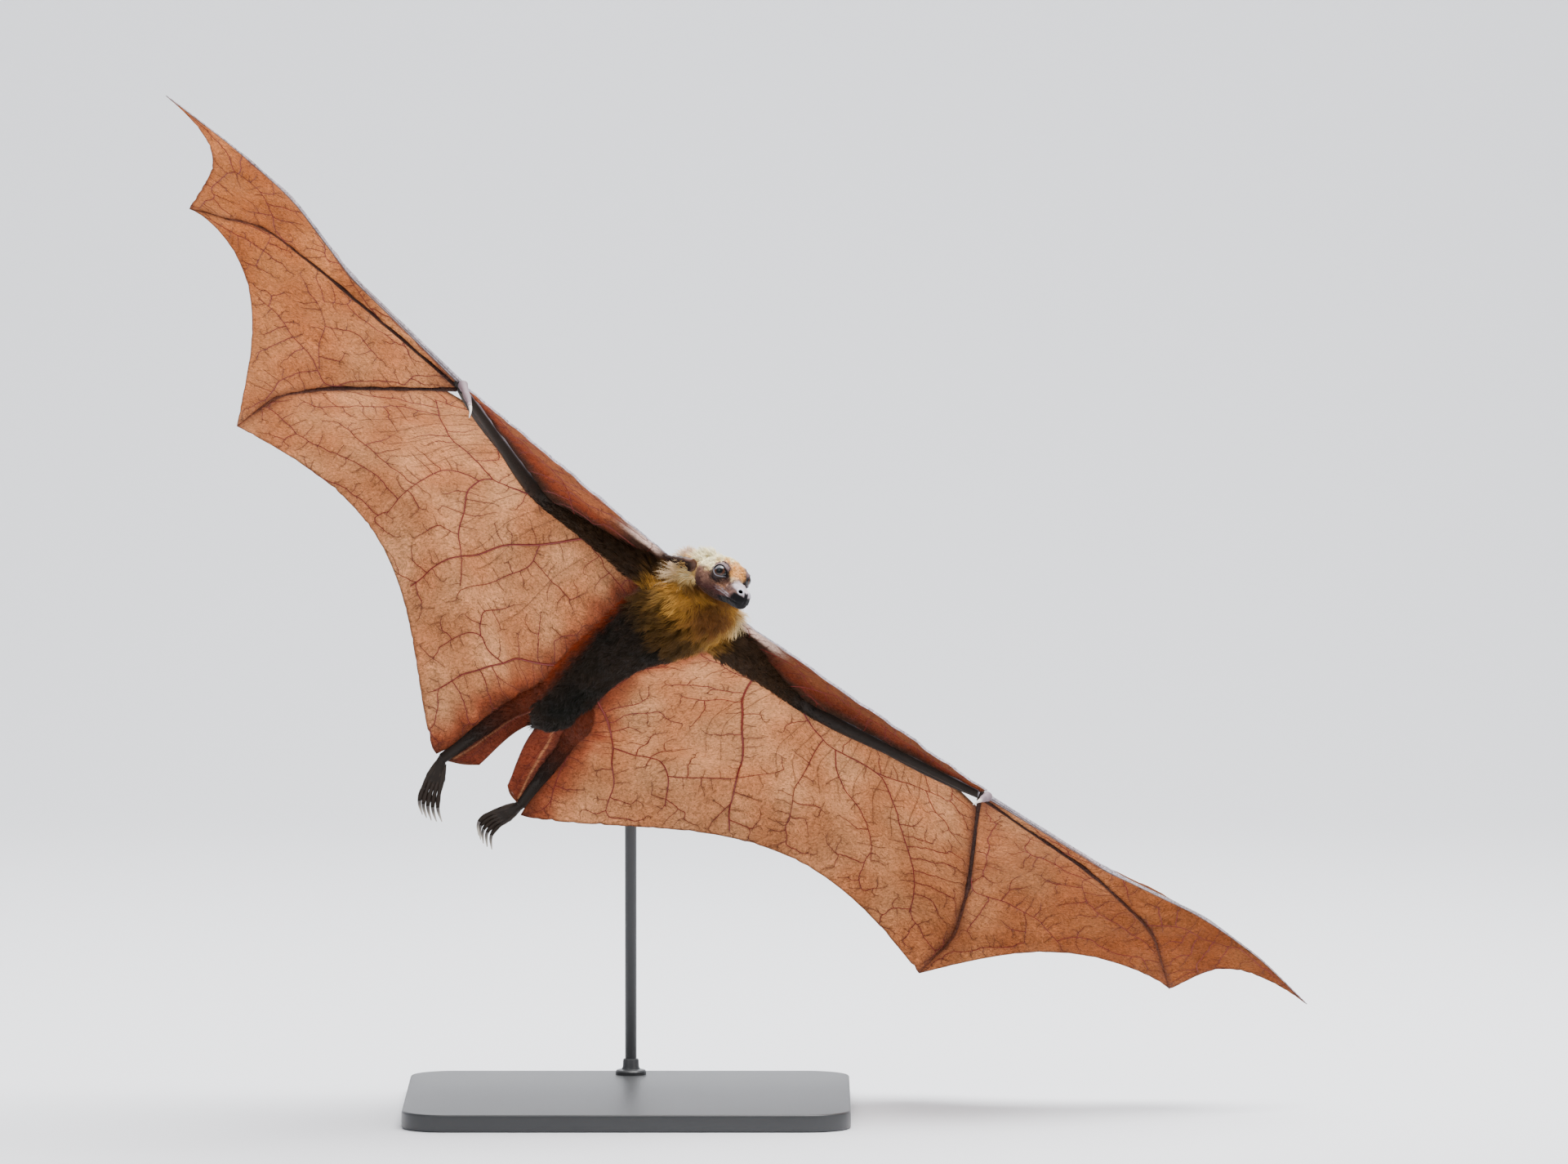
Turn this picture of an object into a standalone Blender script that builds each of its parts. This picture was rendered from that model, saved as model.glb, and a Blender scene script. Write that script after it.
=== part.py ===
"""A flying fox gliding with spread wings, as a still life-size model on a plain stand.

Metres, +Z up. The bat is modelled in its own axes, in millimetres: x towards the head, y to its left,
z to its back, from the point midway between the shoulders. BANK then turns it the way it flies.
"""

import math

import bpy
import numpy as np
from mathutils import Euler

MM = 0.001
GAP = 0.3  # mm left between two nodes, so that they never overlap

# The flight pose: the way the head points, how steeply it climbs, and the roll to the left.
HEADING = -38.5
CLIMB = 33.0
ROLL = -50.0
SHOULDERS = np.array([0.045, -0.080, 0.345])
BANK = np.array(Euler([math.radians(a) for a in (ROLL, -CLIMB, HEADING)], "XYZ").to_matrix())

# Joints of each side in mm, y counted outwards from the middle.
JOINTS = {
    "left": {
        "shoulder": (-1, 35, -1),
        "elbow": (-35, 119, 47),
        "wrist": (49, 227, -14),
        "thumb": (71, 209, -60),
        "finger_3": ((62, 330, -4), (70, 406, 16), (60, 508, 31)),
        "finger_4": ((47, 327, 2), (38, 389, 9), (2, 435, 21)),
        "finger_5": ((-38, 285, 14), (-79, 309, 18), (-124, 316, 20)),
        "hip": (-128, 13, -4),
        "knee": (-166, 26, 17),
        "ankle": (-219, 35, 0),
        "heel": (-226, 41, 0),
        "toes": (-262, 29, -3),
        "spur": (-213, 18, 0),
    },
    "right": {
        "shoulder": (1, 35, 1),
        "elbow": (-45, 113, 46),
        "wrist": (26, 230, -15),
        "thumb": (47, 226, -65),
        "finger_3": ((27, 334, -3), (55, 406, -18), (36, 508, 3)),
        "finger_4": ((12, 332, 1), (6, 395, 5), (-36, 432, 23)),
        "finger_5": ((-66, 278, 12), (-109, 292, 26), (-154, 291, 32)),
        "hip": (-130, 17, -3),
        "knee": (-171, 18, 16),
        "ankle": (-227, 28, -6),
        "heel": (-229, 33.5, -6),
        "toes": (-258, 13, -20),
        "spur": (-213, 7, -3),
    },
}
OUTWARD = {"left": 1, "right": -1}

# The trunk: x, sideways and dorsal place of its middle, half width, half depth.
TRUNK = (
    (16, -3, -5, 28, 22),
    (4, -5, -7, 31.5, 25),
    (-14, -8, -8, 31, 26.5),
    (-37, -12, -7, 26, 25),
    (-60, -13.5, -5, 22, 22),
    (-88, -13, -4, 20, 19),
    (-112, -10, -4, 19.5, 17),
    (-132, -6, -4, 17, 14),
    (-147, -5, -3, 12, 10),
    (-155, -5, -2, 5, 4),
)
TRUNK_SIDES = 20

# The head has axes of its own: x to the nose, y left, z to the crown, from between the ears.
HEAD_PLACE = np.array([46.0, -11.0, -17.0])
HEAD_TURN = np.array(Euler([math.radians(a) for a in (33.6, 47.4, 20.2)], "XYZ").to_matrix())
# x, height of the middle, half width, half height, and how square the section is.
HEAD = (
    (-17, 0.0, 15.5, 14.8, 2.0),
    (-9, 0.4, 16.2, 15.4, 2.0),
    (-1, 0.2, 15.8, 15.0, 2.0),
    (6, -0.4, 13.8, 13.9, 2.0),
    (12, -1.2, 11.2, 12.2, 2.1),
    (18, -2.2, 8.8, 10.2, 2.2),
    (24, -3.4, 7.6, 8.6, 2.3),
    (30, -4.4, 7.0, 7.5, 2.3),
    (35, -4.9, 6.0, 6.6, 2.2),
    (38, -5.0, 4.4, 5.2, 2.0),
    (39.4, -4.8, 2.2, 2.6, 2.0),
)
HEAD_SIDES = 20
EYE_PLACE = (12.4, 8.9, 4.0)
EYE_RADIUS = 5.3
NOSTRIL_PLACE = (36.0, 3.5, -1.2)
EAR_BASE = (-13.0, 17.2, 2.5)
EAR_AIM = (-25, 10, -2)
EAR_LENGTH = 28.0
EAR_WIDTH = 13.0
EAR_THICK = 1.0

# Each limb's rings, as fractions of each stretch between its joints, and their radii.
ARM_MARKS = ((0,), (0, 0.15, 0.4, 0.7, 0.92), (0, 0.06, 0.2, 0.4, 0.6, 0.8, 1))
ARM = (14.0, 14.0, 13.0, 10.5, 8.0, 6.8, 6.6, 6.8, 7.0, 5.8, 4.6, 3.8, 3.5)
LEG_MARKS = ((0,), (0, 0.25, 0.6, 0.88), (0, 0.1, 0.35, 0.7, 1))
LEG = (9.5, 9.2, 8.8, 7.6, 6.6, 6.4, 6.3, 6.0, 4.6, 3.6)
ELBOW_RING, KNEE_RING = 6, 5
LIMB_SIDES = 12
FINGER_MARKS = ((0, 0.09, 0.55, 0.9), (0, 0.1, 0.5, 0.9), (0, 0.12, 0.5, 1))
FINGERS = {
    "finger_2": (1.5, 1.4, 1.3, 1.5, 1.2, 1.3, 0.4),
    "finger_3": (1.9, 1.8, 1.6, 1.8, 2.1, 1.6, 1.4, 1.4, 1.6, 1.2, 0.8, 0.4),
    "finger_4": (2.0, 1.7, 1.5, 1.7, 2.0, 1.5, 1.3, 1.3, 1.5, 1.1, 0.8, 0.4),
    "finger_5": (2.2, 1.8, 1.6, 1.8, 2.1, 1.6, 1.3, 1.3, 1.5, 1.1, 0.8, 0.4),
}
FINGER_SIDES = 6
# How far the third finger's last bone bows forward in its middle.
FINGER_BOW = {"left": 5.0, "right": 2.5}
THUMB = (3.4, 2.6, 2.3, 2.5, 1.9, 1.4, 0.9, 0.4)
TOE = (1.7, 1.5, 1.6, 1.3, 1.5, 1.1, 0.8, 0.3)
TOE_SIDES = 5
# Where each finger leaves the hand: ahead of its middle, and beyond it.
FINGER_BASES = {"finger_2": (5.0, 2.0), "finger_3": (1.5, 3.5), "finger_4": (-3.3, 3.5), "finger_5": (-6.0, 0.5)}
# Where the large membrane leaves the flank.
FLANK = (-19, -54, -90)
LEADING_END = {"left": 6.0, "right": 3.0}
# Where the leading edge leaves the neck, y counted outwards.
LEADING_ROOT = {"left": (15, 33, 0), "right": (10.5, 48.5, 0)}
SKIN_THICK = 0.9
# How far the trailing edge between leg and fifth finger is drawn in, and to which side.
TRAIL = {"left": (46, 1.28), "right": (44, 1.25)}
# Name, the fingers on both sides, how deep the free edge is drawn in, its skew, and columns.
HAND_MEMBRANES = {
    "left": (
        ("dactylopatagium_longus", "finger_3", "finger_4", 39, 0.5, 7),
        ("dactylopatagium_latus", "finger_4", "finger_5", 31, 0.75, 9),
    ),
    "right": (
        ("dactylopatagium_longus", "finger_3", "finger_4", 35, 0.45, 7),
        ("dactylopatagium_latus", "finger_4", "finger_5", 33, 0.6, 9),
    ),
}
STAND_BASE = (300, 280, 12)
STAND_CORNER = 30
ROD_RADIUS = 4.0
ROD_BEND = 30
ROD_SIDES = 12
ROD_BACK_Y = 0.115
ROD_ON_TRUNK = (-60, -10)


def unit(v):
    """The vector, or each row of vectors, at length one."""
    v = np.asarray(v, float)
    return v / np.linalg.norm(v, axis=-1, keepdims=True)


def joint(side, name):
    """A joint's place in the bat's axes, in mm."""
    return np.array(JOINTS[side][name], float) * (1, OUTWARD[side], 1)


def material(name, colour, roughness=0.7, metallic=0.0):
    """One Principled material for each name, made once."""
    made = bpy.data.materials.get(name) or bpy.data.materials.new(name)
    made.use_nodes = True
    shader = made.node_tree.nodes["Principled BSDF"]
    shader.inputs["Base Color"].default_value = (*colour, 1)
    shader.inputs["Roughness"].default_value = roughness
    shader.inputs["Metallic"].default_value = metallic
    made.diffuse_color = (*colour, 1)
    return made


def in_world(points):
    """Points of the bat's own axes, in mm, as world metres."""
    return np.asarray(points) @ BANK.T * MM + SHOULDERS


def build(name, points, faces, finish, smooth=True, place=in_world):
    """A named object from points in the bat's axes and its faces."""
    mesh = bpy.data.meshes.new(name)
    mesh.from_pydata([tuple(p) for p in place(points)], [], faces)
    mesh.validate()
    made = bpy.data.objects.new(name, mesh)
    bpy.context.collection.objects.link(made)
    mesh.materials.append(finish)
    if smooth:
        mesh.shade_smooth()
        mesh.set_sharp_from_angle(angle=math.radians(40))
    return made


def rings_faces(rings, sides):
    """Faces of a closed body made of rings of points, with flat ends, facing out."""
    faces = []
    for ring in range(rings - 1):
        for k in range(sides):
            here, beside = ring * sides + k, ring * sides + (k + 1) % sides
            faces.append((here, beside, beside + sides, here + sides))
    faces.append(tuple(reversed(range(sides))))
    faces.append(tuple(range((rings - 1) * sides, rings * sides)))
    return faces


def rounded(corners, cut, steps=4):
    """A path through the corners, each inner one rounded off over this length on both sides."""
    corners = [np.asarray(c, float) for c in corners]
    path = [corners[0]]
    for before, here, after in zip(corners, corners[1:], corners[2:]):
        start = here - unit(here - before) * min(cut, 0.45 * np.linalg.norm(here - before))
        end = here + unit(after - here) * min(cut, 0.45 * np.linalg.norm(after - here))
        for t in np.linspace(0, 1, steps):
            path.append((1 - t) ** 2 * start + 2 * t * (1 - t) * here + t * t * end)
    path.append(corners[-1])
    return np.array(path)


def along(path, shares):
    """The points at these shares of a path's length."""
    length = np.concatenate([[0], np.cumsum(np.linalg.norm(np.diff(path, axis=0), axis=1))])
    return np.stack([np.interp(np.asarray(shares) * length[-1], length, path[:, k]) for k in range(3)], -1)


def directions(path, shares):
    """The unit tangent at these shares of a path, taken over two millimetres."""
    reach = 1.0 / np.linalg.norm(np.diff(path, axis=0), axis=1).sum()
    ahead = along(path, np.clip(np.asarray(shares) + reach, 0, 1))
    return unit(ahead - along(path, np.clip(np.asarray(shares) - reach, 0, 1)))


def stations(path, joints, fractions):
    """Shares of a path at these fractions of each stretch between joints; the joints are points near it."""
    fine = np.linspace(0, 1, 801)
    points = along(path, fine)
    ends = [0.0, *(fine[np.linalg.norm(points - place, axis=1).argmin()] for place in joints), 1.0]
    return np.array([a + t * (b - a) for a, b, ts in zip(ends, ends[1:], fractions) for t in ts])


def sweep(name, path, shares, radii, sides, finish, place=None):
    """A round limb along a path, with a ring of each radius at each share of its length."""
    turn = 2 * math.pi * np.arange(sides) / sides
    across = np.array([0.1, 0.0, 1.0])
    rings = []
    for centre, tangent, radius in zip(along(path, shares), directions(path, shares), radii):
        across = unit(across - tangent * (across @ tangent))
        other = np.cross(tangent, across)
        rings.append(centre + radius * (np.cos(turn)[:, None] * across + np.sin(turn)[:, None] * other))
    return build(name, np.concatenate(rings), rings_faces(len(rings), sides), finish, place=place or in_world)


def section(centre, sideways, up, half_width, half_height, square, sides):
    """A closed ring: an ellipse, squarer as the last number grows."""
    turn = 2 * math.pi * np.arange(sides) / sides
    cosine, sine = np.cos(turn), np.sin(turn)
    wide = np.sign(cosine) * np.abs(cosine) ** (2 / square) * half_width
    high = np.sign(sine) * np.abs(sine) ** (2 / square) * half_height
    return np.asarray(centre) + wide[:, None] * np.asarray(sideways) + high[:, None] * np.asarray(up)


def joined(base, others):
    """The union of an object with others, which then only guide it."""
    for other in others:
        cut = base.modifiers.new("join " + other.name, "BOOLEAN")
        cut.operation = "UNION"
        cut.object = other
        guide(other)
    return base


def clear_of(base, others):
    """Takes other shapes away from an object."""
    for other in others:
        cut = base.modifiers.new("clear " + other.name, "BOOLEAN")
        cut.operation = "DIFFERENCE"
        cut.object = other
        guide(other)
    return base


def guide(helper):
    """A helper that shapes others and is no part of the model."""
    helper.hide_render = True
    helper.display_type = "WIRE"


def trunk_rings(grow=0.0, first=0, last=len(TRUNK)):
    """The trunk's rings, made larger all round by grow."""
    rings = []
    for x, y, z, half_width, half_depth in TRUNK[first:last]:
        rings.append(section((x, y, z), (0, 1, 0), (0, 0, 1), half_width + grow, half_depth + grow, 2, TRUNK_SIDES))
    return rings


def trunk_at(x, column):
    """One column of the trunk's table at any x."""
    table = np.array(TRUNK, float)[::-1]
    return np.interp(x, table[:, 0], table[:, column])


def make_trunk(name, finish, grow=0.0):
    """The trunk from neck to rump. The rings run from the rump forwards, so that its faces look out."""
    rings = trunk_rings(grow)[::-1]
    rings[0] = rings[0] - np.array([grow, 0, 0])
    rings[-1] = rings[-1] + np.array([grow, 0, 0])
    return build(name, np.concatenate(rings), rings_faces(len(rings), TRUNK_SIDES), finish)


def from_head(points):
    """Points of the head's axes in the bat's."""
    return np.asarray(points) @ HEAD_TURN.T + HEAD_PLACE


def make_head(name, finish, grow=0.0):
    """The skull and muzzle with their coat."""
    rings = [section((x, 0, z), (0, 1, 0), (0, 0, 1), w + grow, h + grow, q, HEAD_SIDES) for x, z, w, h, q in HEAD]
    rings[0] = rings[0] - np.array([grow, 0, 0])
    rings[-1] = rings[-1] + np.array([grow, 0, 0])
    return build(name, from_head(np.concatenate(rings)), rings_faces(len(rings), HEAD_SIDES), finish)


def make_neck(name, finish, grow=0.0):
    """The neck, bending down from the trunk's front ring to the back of the head."""
    x, y, z, half_width, half_depth = TRUNK[0]
    start, start_way = np.array([x + GAP, y, z]), np.array([1.0, 0, 0.1])
    head_x, head_z, head_w, head_h, _ = HEAD[0]
    end, end_way = from_head((head_x - GAP, 0, head_z)), HEAD_TURN[:, 0]
    reach = np.linalg.norm(end - start)
    rings = []
    for t in np.linspace(0, 1, 6):
        ease = t * t * (3 - 2 * t)
        centre = (
            (2 * t**3 - 3 * t**2 + 1) * start
            + (t**3 - 2 * t**2 + t) * reach * start_way
            + (3 * t**2 - 2 * t**3) * end
            + (t**3 - t**2) * reach * end_way
        )
        sideways = unit((1 - ease) * np.array([0, 1.0, 0]) + ease * HEAD_TURN[:, 1])
        up = (1 - ease) * np.array([0, 0, 1.0]) + ease * HEAD_TURN[:, 2]
        up = unit(up - sideways * (up @ sideways))
        width = (1 - t) * half_width + t * head_w + grow
        height = (1 - t) * half_depth + t * head_h + grow
        rings.append(section(centre, sideways, up, width, height, 2, TRUNK_SIDES))
    return build(name, np.concatenate(rings), rings_faces(len(rings), TRUNK_SIDES), finish)


def ball(name, centre, radius, finish, sides=12, rows=6):
    """A round ball of rings and two caps."""
    tilt = np.linspace(0.12, math.pi - 0.12, rows)
    turn = 2 * math.pi * np.arange(sides) / sides
    rings = np.stack(
        [
            np.sin(tilt)[:, None] * np.cos(turn),
            np.sin(tilt)[:, None] * np.sin(turn),
            -np.cos(tilt)[:, None] * np.ones(sides),
        ],
        -1,
    )
    return build(name, np.asarray(centre) + radius * rings.reshape(-1, 3), rings_faces(rows, sides), finish)


def sheet(name, grid, thickness, finish):
    """A closed sheet of this thickness on both sides of a grid of points."""
    rows, columns = grid.shape[:2]
    normal = unit(np.cross(np.gradient(grid, axis=0), np.gradient(grid, axis=1)))
    points = np.concatenate([(grid + normal * thickness / 2).reshape(-1, 3), (grid - normal * thickness / 2).reshape(-1, 3)])
    below = rows * columns
    faces = []
    for r in range(rows - 1):
        for c in range(columns - 1):
            quad = (r * columns + c, (r + 1) * columns + c, (r + 1) * columns + c + 1, r * columns + c + 1)
            faces.append(quad)
            faces.append(tuple(below + k for k in reversed(quad)))
    rim = [c for c in range(columns)]
    rim += [r * columns + columns - 1 for r in range(1, rows)]
    rim += [(rows - 1) * columns + c for c in reversed(range(columns - 1))]
    rim += [r * columns for r in reversed(range(1, rows - 1))]
    for here, after in zip(rim, rim[1:] + rim[:1]):
        faces.append((here, after, below + after, below + here))
    return build(name, points, faces, finish)


def beside(path, shares, radii, other, extra=GAP + 0.1):
    """The line on a limb's surface that faces another line, just clear of the limb."""
    points, tangents = along(path, shares), directions(path, shares)
    toward = other - points
    toward = unit(toward - tangents * (toward * tangents).sum(-1, keepdims=True))
    return points + toward * (np.asarray(radii)[:, None] + extra)


def bend(line):
    """How far each point of a line lies from the straight one between its ends."""
    t = np.linspace(0, 1, len(line))[:, None]
    return line - (1 - t) * line[0] - t * line[-1]


def patch(top, bottom, near, far, ease=1):
    """A smooth grid between four lines: top and bottom run from near to far, near and far from top to bottom.

    Each row is straight but for the bends of top and bottom, and a larger ease keeps those to their edges.
    """
    u = np.linspace(0, 1, len(top))[None, :, None]
    v = np.linspace(0, 1, len(near))[:, None, None]
    straight = (1 - u) * near[:, None] + u * far[:, None]
    return straight + (1 - v) ** ease * bend(top) + v**ease * bend(bottom)


def swollen(grid, rise):
    """A grid whose middle the air lifts towards the bat's back, and whose edges stay."""
    rows, columns = grid.shape[:2]
    bump = np.sin(math.pi * np.linspace(0, 1, rows))[:, None] * np.sin(math.pi * np.linspace(0, 1, columns))
    return grid + bump[..., None] * np.array([0, 0, rise])


def scallop(start, end, inward, depth, skew, count, crowd=1.0):
    """The free edge between two tips, drawn inwards; a skew under one moves the deepest place to the start."""
    t = np.linspace(0, 1, count)[:, None] ** crowd
    return (1 - t) * start + t * end + np.sin(math.pi * t**skew) * depth * unit(inward)


# ---- limbs -----------------------------------------------------------------------------------


def arm(side):
    """The arm's path from inside the chest to the hand, the shares of its rings, and their radii."""
    shoulder, elbow, wrist = (joint(side, name) for name in ("shoulder", "elbow", "wrist"))
    root = np.array([-6, trunk_at(-6, 1) + OUTWARD[side] * 14, -5])
    end = wrist - unit(wrist - elbow) * 4
    path = rounded([root, shoulder, elbow, end], 16, 7)
    return path, stations(path, (shoulder, elbow), ARM_MARKS), ARM


def leg(side):
    """The leg's path from inside the rump to the ankle, the shares of its rings, and their radii."""
    hip, knee, ankle = (joint(side, name) for name in ("hip", "knee", "ankle"))
    root = np.array([-114, trunk_at(-114, 1) + OUTWARD[side] * 6, -4])
    path = rounded([root, hip, knee, ankle], 18, 7)
    return path, stations(path, (hip, knee), LEG_MARKS), LEG


def knuckles(side, finger):
    """The three joints of a finger beyond the hand, the last its tip."""
    return np.array(JOINTS[side][finger], float) * (1, OUTWARD[side], 1)


def hand_axes(side):
    """The directions of the hand: out towards the wing tip, fore to the leading edge, and its back."""
    wrist = joint(side, "wrist")
    out = unit(knuckles(side, "finger_3")[0] + knuckles(side, "finger_4")[0] - 2 * wrist)
    aft = knuckles(side, "finger_5")[0] - wrist
    fore = -unit(aft - out * (aft @ out))
    return out, fore, np.cross(fore, out) * OUTWARD[side]


def finger(side, name):
    """A finger's path, the shares of its rings, and their radii. The second lies just ahead of the third."""
    out, fore, back = hand_axes(side)
    ahead, beyond = FINGER_BASES[name]
    base = joint(side, "wrist") + fore * ahead + out * beyond
    if name == "finger_2":
        base = base - back * 1.8
        tip = knuckles(side, "finger_3")[0] + fore * 3.4 - back * 2.4 - out * 4
        path = rounded([base, (base + tip) / 2, tip], 8)
        return path, np.linspace(0, 1, len(FINGERS[name])), FINGERS[name]
    first, second, tip = knuckles(side, name)
    bow = (second + tip) / 2 + fore * FINGER_BOW[side] * (name == "finger_3")
    path = rounded([base, first, second, bow, tip], 14, 6)
    return path, stations(path, (first, second), FINGER_MARKS), FINGERS[name]


def thumb(side):
    """The thumb's path to the tip of its claw, which curls back, its shares and radii."""
    _, fore, back = hand_axes(side)
    start = joint(side, "wrist") + fore * 5 - back * 3
    tip = joint(side, "thumb")
    knuckle = start + (tip - start) * 0.55 + fore * 3
    claw = start + (tip - start) * 0.84 + fore * 3.5
    return rounded([start, knuckle, claw, tip], 7), np.linspace(0, 1, len(THUMB)), THUMB


def make_limb(names, limb, cut, finish):
    """A limb as two pieces, cut across at the ring of its middle joint."""
    path, shares, radii = limb
    gap = GAP / 2 / np.linalg.norm(np.diff(path, axis=0), axis=1).sum()
    upper = np.append(shares[:cut], shares[cut] - gap)
    lower = np.append(shares[cut] + gap, shares[cut + 1 :])
    lower[-1] -= 2 * gap
    pieces = []
    for name, piece, thick in zip(names, (upper, lower), (radii[: cut + 1], radii[cut:])):
        pieces.append(sweep(name, path, piece, thick, LIMB_SIDES, finish))
    return pieces


def make_hand(side, finish, grow=0.0):
    """The wrist's block, flattened in the wing's plane, from which the fingers and the thumb grow."""
    out, fore, back = hand_axes(side)
    path = arm(side)[0]
    start, way = path[-1], directions(path, [1.0])[0]
    rings = []
    for share, wide, thick in ((0, 3.7, 3.6), (0.35, 5.4, 4.3), (0.7, 6.6, 4.0), (1, 5.6, 2.8)):
        centre = (1 - share) * start + share * (joint(side, "wrist") + out * 4.5)
        ahead = unit((1 - share) * way + share * out)
        across = unit(np.cross(back, ahead))
        up = np.cross(ahead, across)
        rings.append(section(centre, across, up, wide + grow, thick + grow, 2.3, LIMB_SIDES))
    rings[0] = rings[0] - way * grow
    rings[-1] = rings[-1] + out * grow
    name = f"hand_room_{side}" if grow else f"hand_{side}"
    return build(name, np.concatenate(rings), rings_faces(len(rings), LIMB_SIDES), finish)


def make_digits(side, bone, claw, palm_room):
    """Thumb and four fingers, each clear of the hand."""
    clear_of(sweep(f"thumb_{side}", *thumb(side), 8, claw), [palm_room])
    for name in FINGERS:
        clear_of(sweep(f"{name}_{side}", *finger(side, name), FINGER_SIDES, bone), [palm_room])


def make_foot(side, finish):
    """Sole, five toes and their hooked claws, as one body that starts at the ankle."""
    ankle = joint(side, "ankle")
    way = directions(leg(side)[0], [1.0])[0]
    aim = unit(joint(side, "toes") - ankle)
    across = unit(np.cross((0, 0, 1), aim))
    back = np.cross(aim, across)
    rings = []
    for reach, wide, thick in ((0, 3.3, 3.2), (4, 3.8, 3.4), (10, 5.6, 2.8), (16, 6.6, 2.3), (19, 6.0, 1.6)):
        share = min(1, reach / 6)
        ahead = unit((1 - share) * way + share * aim)
        side_way = unit(across - ahead * (across @ ahead))
        rings.append(section(ankle + aim * reach, side_way, np.cross(ahead, side_way), wide, thick, 2.2, 10))
    sole = build(f"foot_{side}", np.concatenate(rings), rings_faces(len(rings), 10), finish)
    toes = []
    for toe in range(5):
        spread = (toe - 2) / 2
        start = ankle + aim * 15 + across * spread * 4.8
        lead = unit(aim + across * spread * 0.22)
        knuckle = start + lead * 12 - back * 0.5
        claw = knuckle + lead * 7 - back * 2.0
        tip = claw + lead * 3.5 - back * 7.5
        path = rounded([start, knuckle, claw, tip], 4)
        toes.append(sweep(f"toe_{side}_{toe}", path, np.linspace(0, 1, len(TOE)), TOE, TOE_SIDES, finish))
    return joined(sole, toes)


# ---- wings -----------------------------------------------------------------------------------


def make_fore_membrane(side, finish):
    """The skin ahead of the arm, from the neck to the hand."""
    path, shares, radii = (part[2:] if k else part for k, part in enumerate(arm(side)))
    out, fore, _ = hand_axes(side)
    neck = np.array(LEADING_ROOT[side], float) * (1, OUTWARD[side], 1)
    end = joint(side, "wrist") + fore * LEADING_END[side] - out * 4
    lead = neck + ((shares - shares[0]) / (shares[-1] - shares[0]))[:, None] * (end - neck)
    front = beside(path, shares, radii, lead, GAP + 0.8)
    grid = np.stack([front + t * (lead - front) for t in np.linspace(0, 1, 5)])
    sheet(f"propatagium_{side}", swollen(grid, 4), SKIN_THICK, finish)


def side_line(side):
    """Where the large membrane meets the flank and then the leg, from armpit to ankle."""
    line = []
    for x in FLANK:
        y = trunk_at(x, 1) + OUTWARD[side] * (trunk_at(x, 3) + GAP + 0.4)
        line.append((x, y, trunk_at(x, 2) + 1))
    path, shares, radii = leg(side)
    outer = along(path, shares[2:]) + np.array([8, OUTWARD[side] * 20, 0])
    line = np.concatenate([line, beside(path, shares[2:], radii[2:], outer)])
    line[-1] = joint(side, "heel")
    return line


def make_arm_membrane(side, finish):
    """The large membrane between arm, fifth finger, leg and flank, drawn in along its free edge."""
    near = side_line(side)
    path, shares, radii = finger(side, "finger_5")
    far = beside(path, shares[1:], radii[1:], near[: len(shares) - 1])
    depth, skew = TRAIL[side]
    path, shares, radii = arm(side)
    count = len(shares) - 2
    inward = joint(side, "elbow") - (near[-1] + far[-1]) / 2
    edge = scallop(near[-1], far[-1], inward, depth, skew, count)
    rear = beside(path, shares[2:], radii[2:], edge)
    rear[0], rear[-1] = near[0], far[0]
    sheet(f"plagiopatagium_{side}", swollen(patch(rear, edge, near, far), 7), SKIN_THICK, finish)


def make_hand_membranes(side, finish):
    """The skin between the third, fourth and fifth fingers."""
    for name, first, second, depth, skew, columns in HAND_MEMBRANES[side]:
        sides = []
        for one, two in ((first, second), (second, first)):
            path, shares, radii = finger(side, one)
            other, other_shares, _ = finger(side, two)
            sides.append(beside(path, shares[1:], radii[1:], along(other, other_shares[1:]), GAP + 0.4))
        one, two = sides
        inward = joint(side, "wrist") - (one[-1] + two[-1]) / 2
        edge = scallop(one[-1], two[-1], inward, depth, skew, columns, 1.5)
        near = one[0] + np.linspace(0, 1, columns)[:, None] * (two[0] - one[0])
        sheet(f"{name}_{side}", swollen(patch(near, edge, one, two, 2), 3), SKIN_THICK, finish)


def make_tail_membrane(side, finish, bone):
    """The flap between leg, rump and heel spur, and the spur itself."""
    path, shares, radii = leg(side)
    shares, radii = shares[4:], radii[4:]
    shares[-1] -= 6 / np.linalg.norm(np.diff(path, axis=0), axis=1).sum()
    spur_tip, ankle = joint(side, "spur"), joint(side, "ankle")
    notch = np.array([-163, trunk_at(-156, 1) + 3.5 + OUTWARD[side] * 0.6, -2])
    fractions = ((shares - shares[0]) / (shares[-1] - shares[0]))[:, None]
    free = notch + fractions * (spur_tip + np.array([4, 0, 0]) - notch)
    inner = beside(path, shares, radii, free)
    grid = np.stack([inner + t * (free - inner) for t in np.linspace(0, 1, 4)])
    sheet(f"uropatagium_{side}", swollen(grid, 2), SKIN_THICK, finish)
    start = ankle + unit(spur_tip - ankle) * 5.4 - np.array([2.5, 0, 0])
    sweep(f"heel_spur_{side}", np.array([start, spur_tip]), np.linspace(0, 1, 3), (1.1, 0.9, 0.5), 6, bone)


# ---- head ------------------------------------------------------------------------------------


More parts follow.
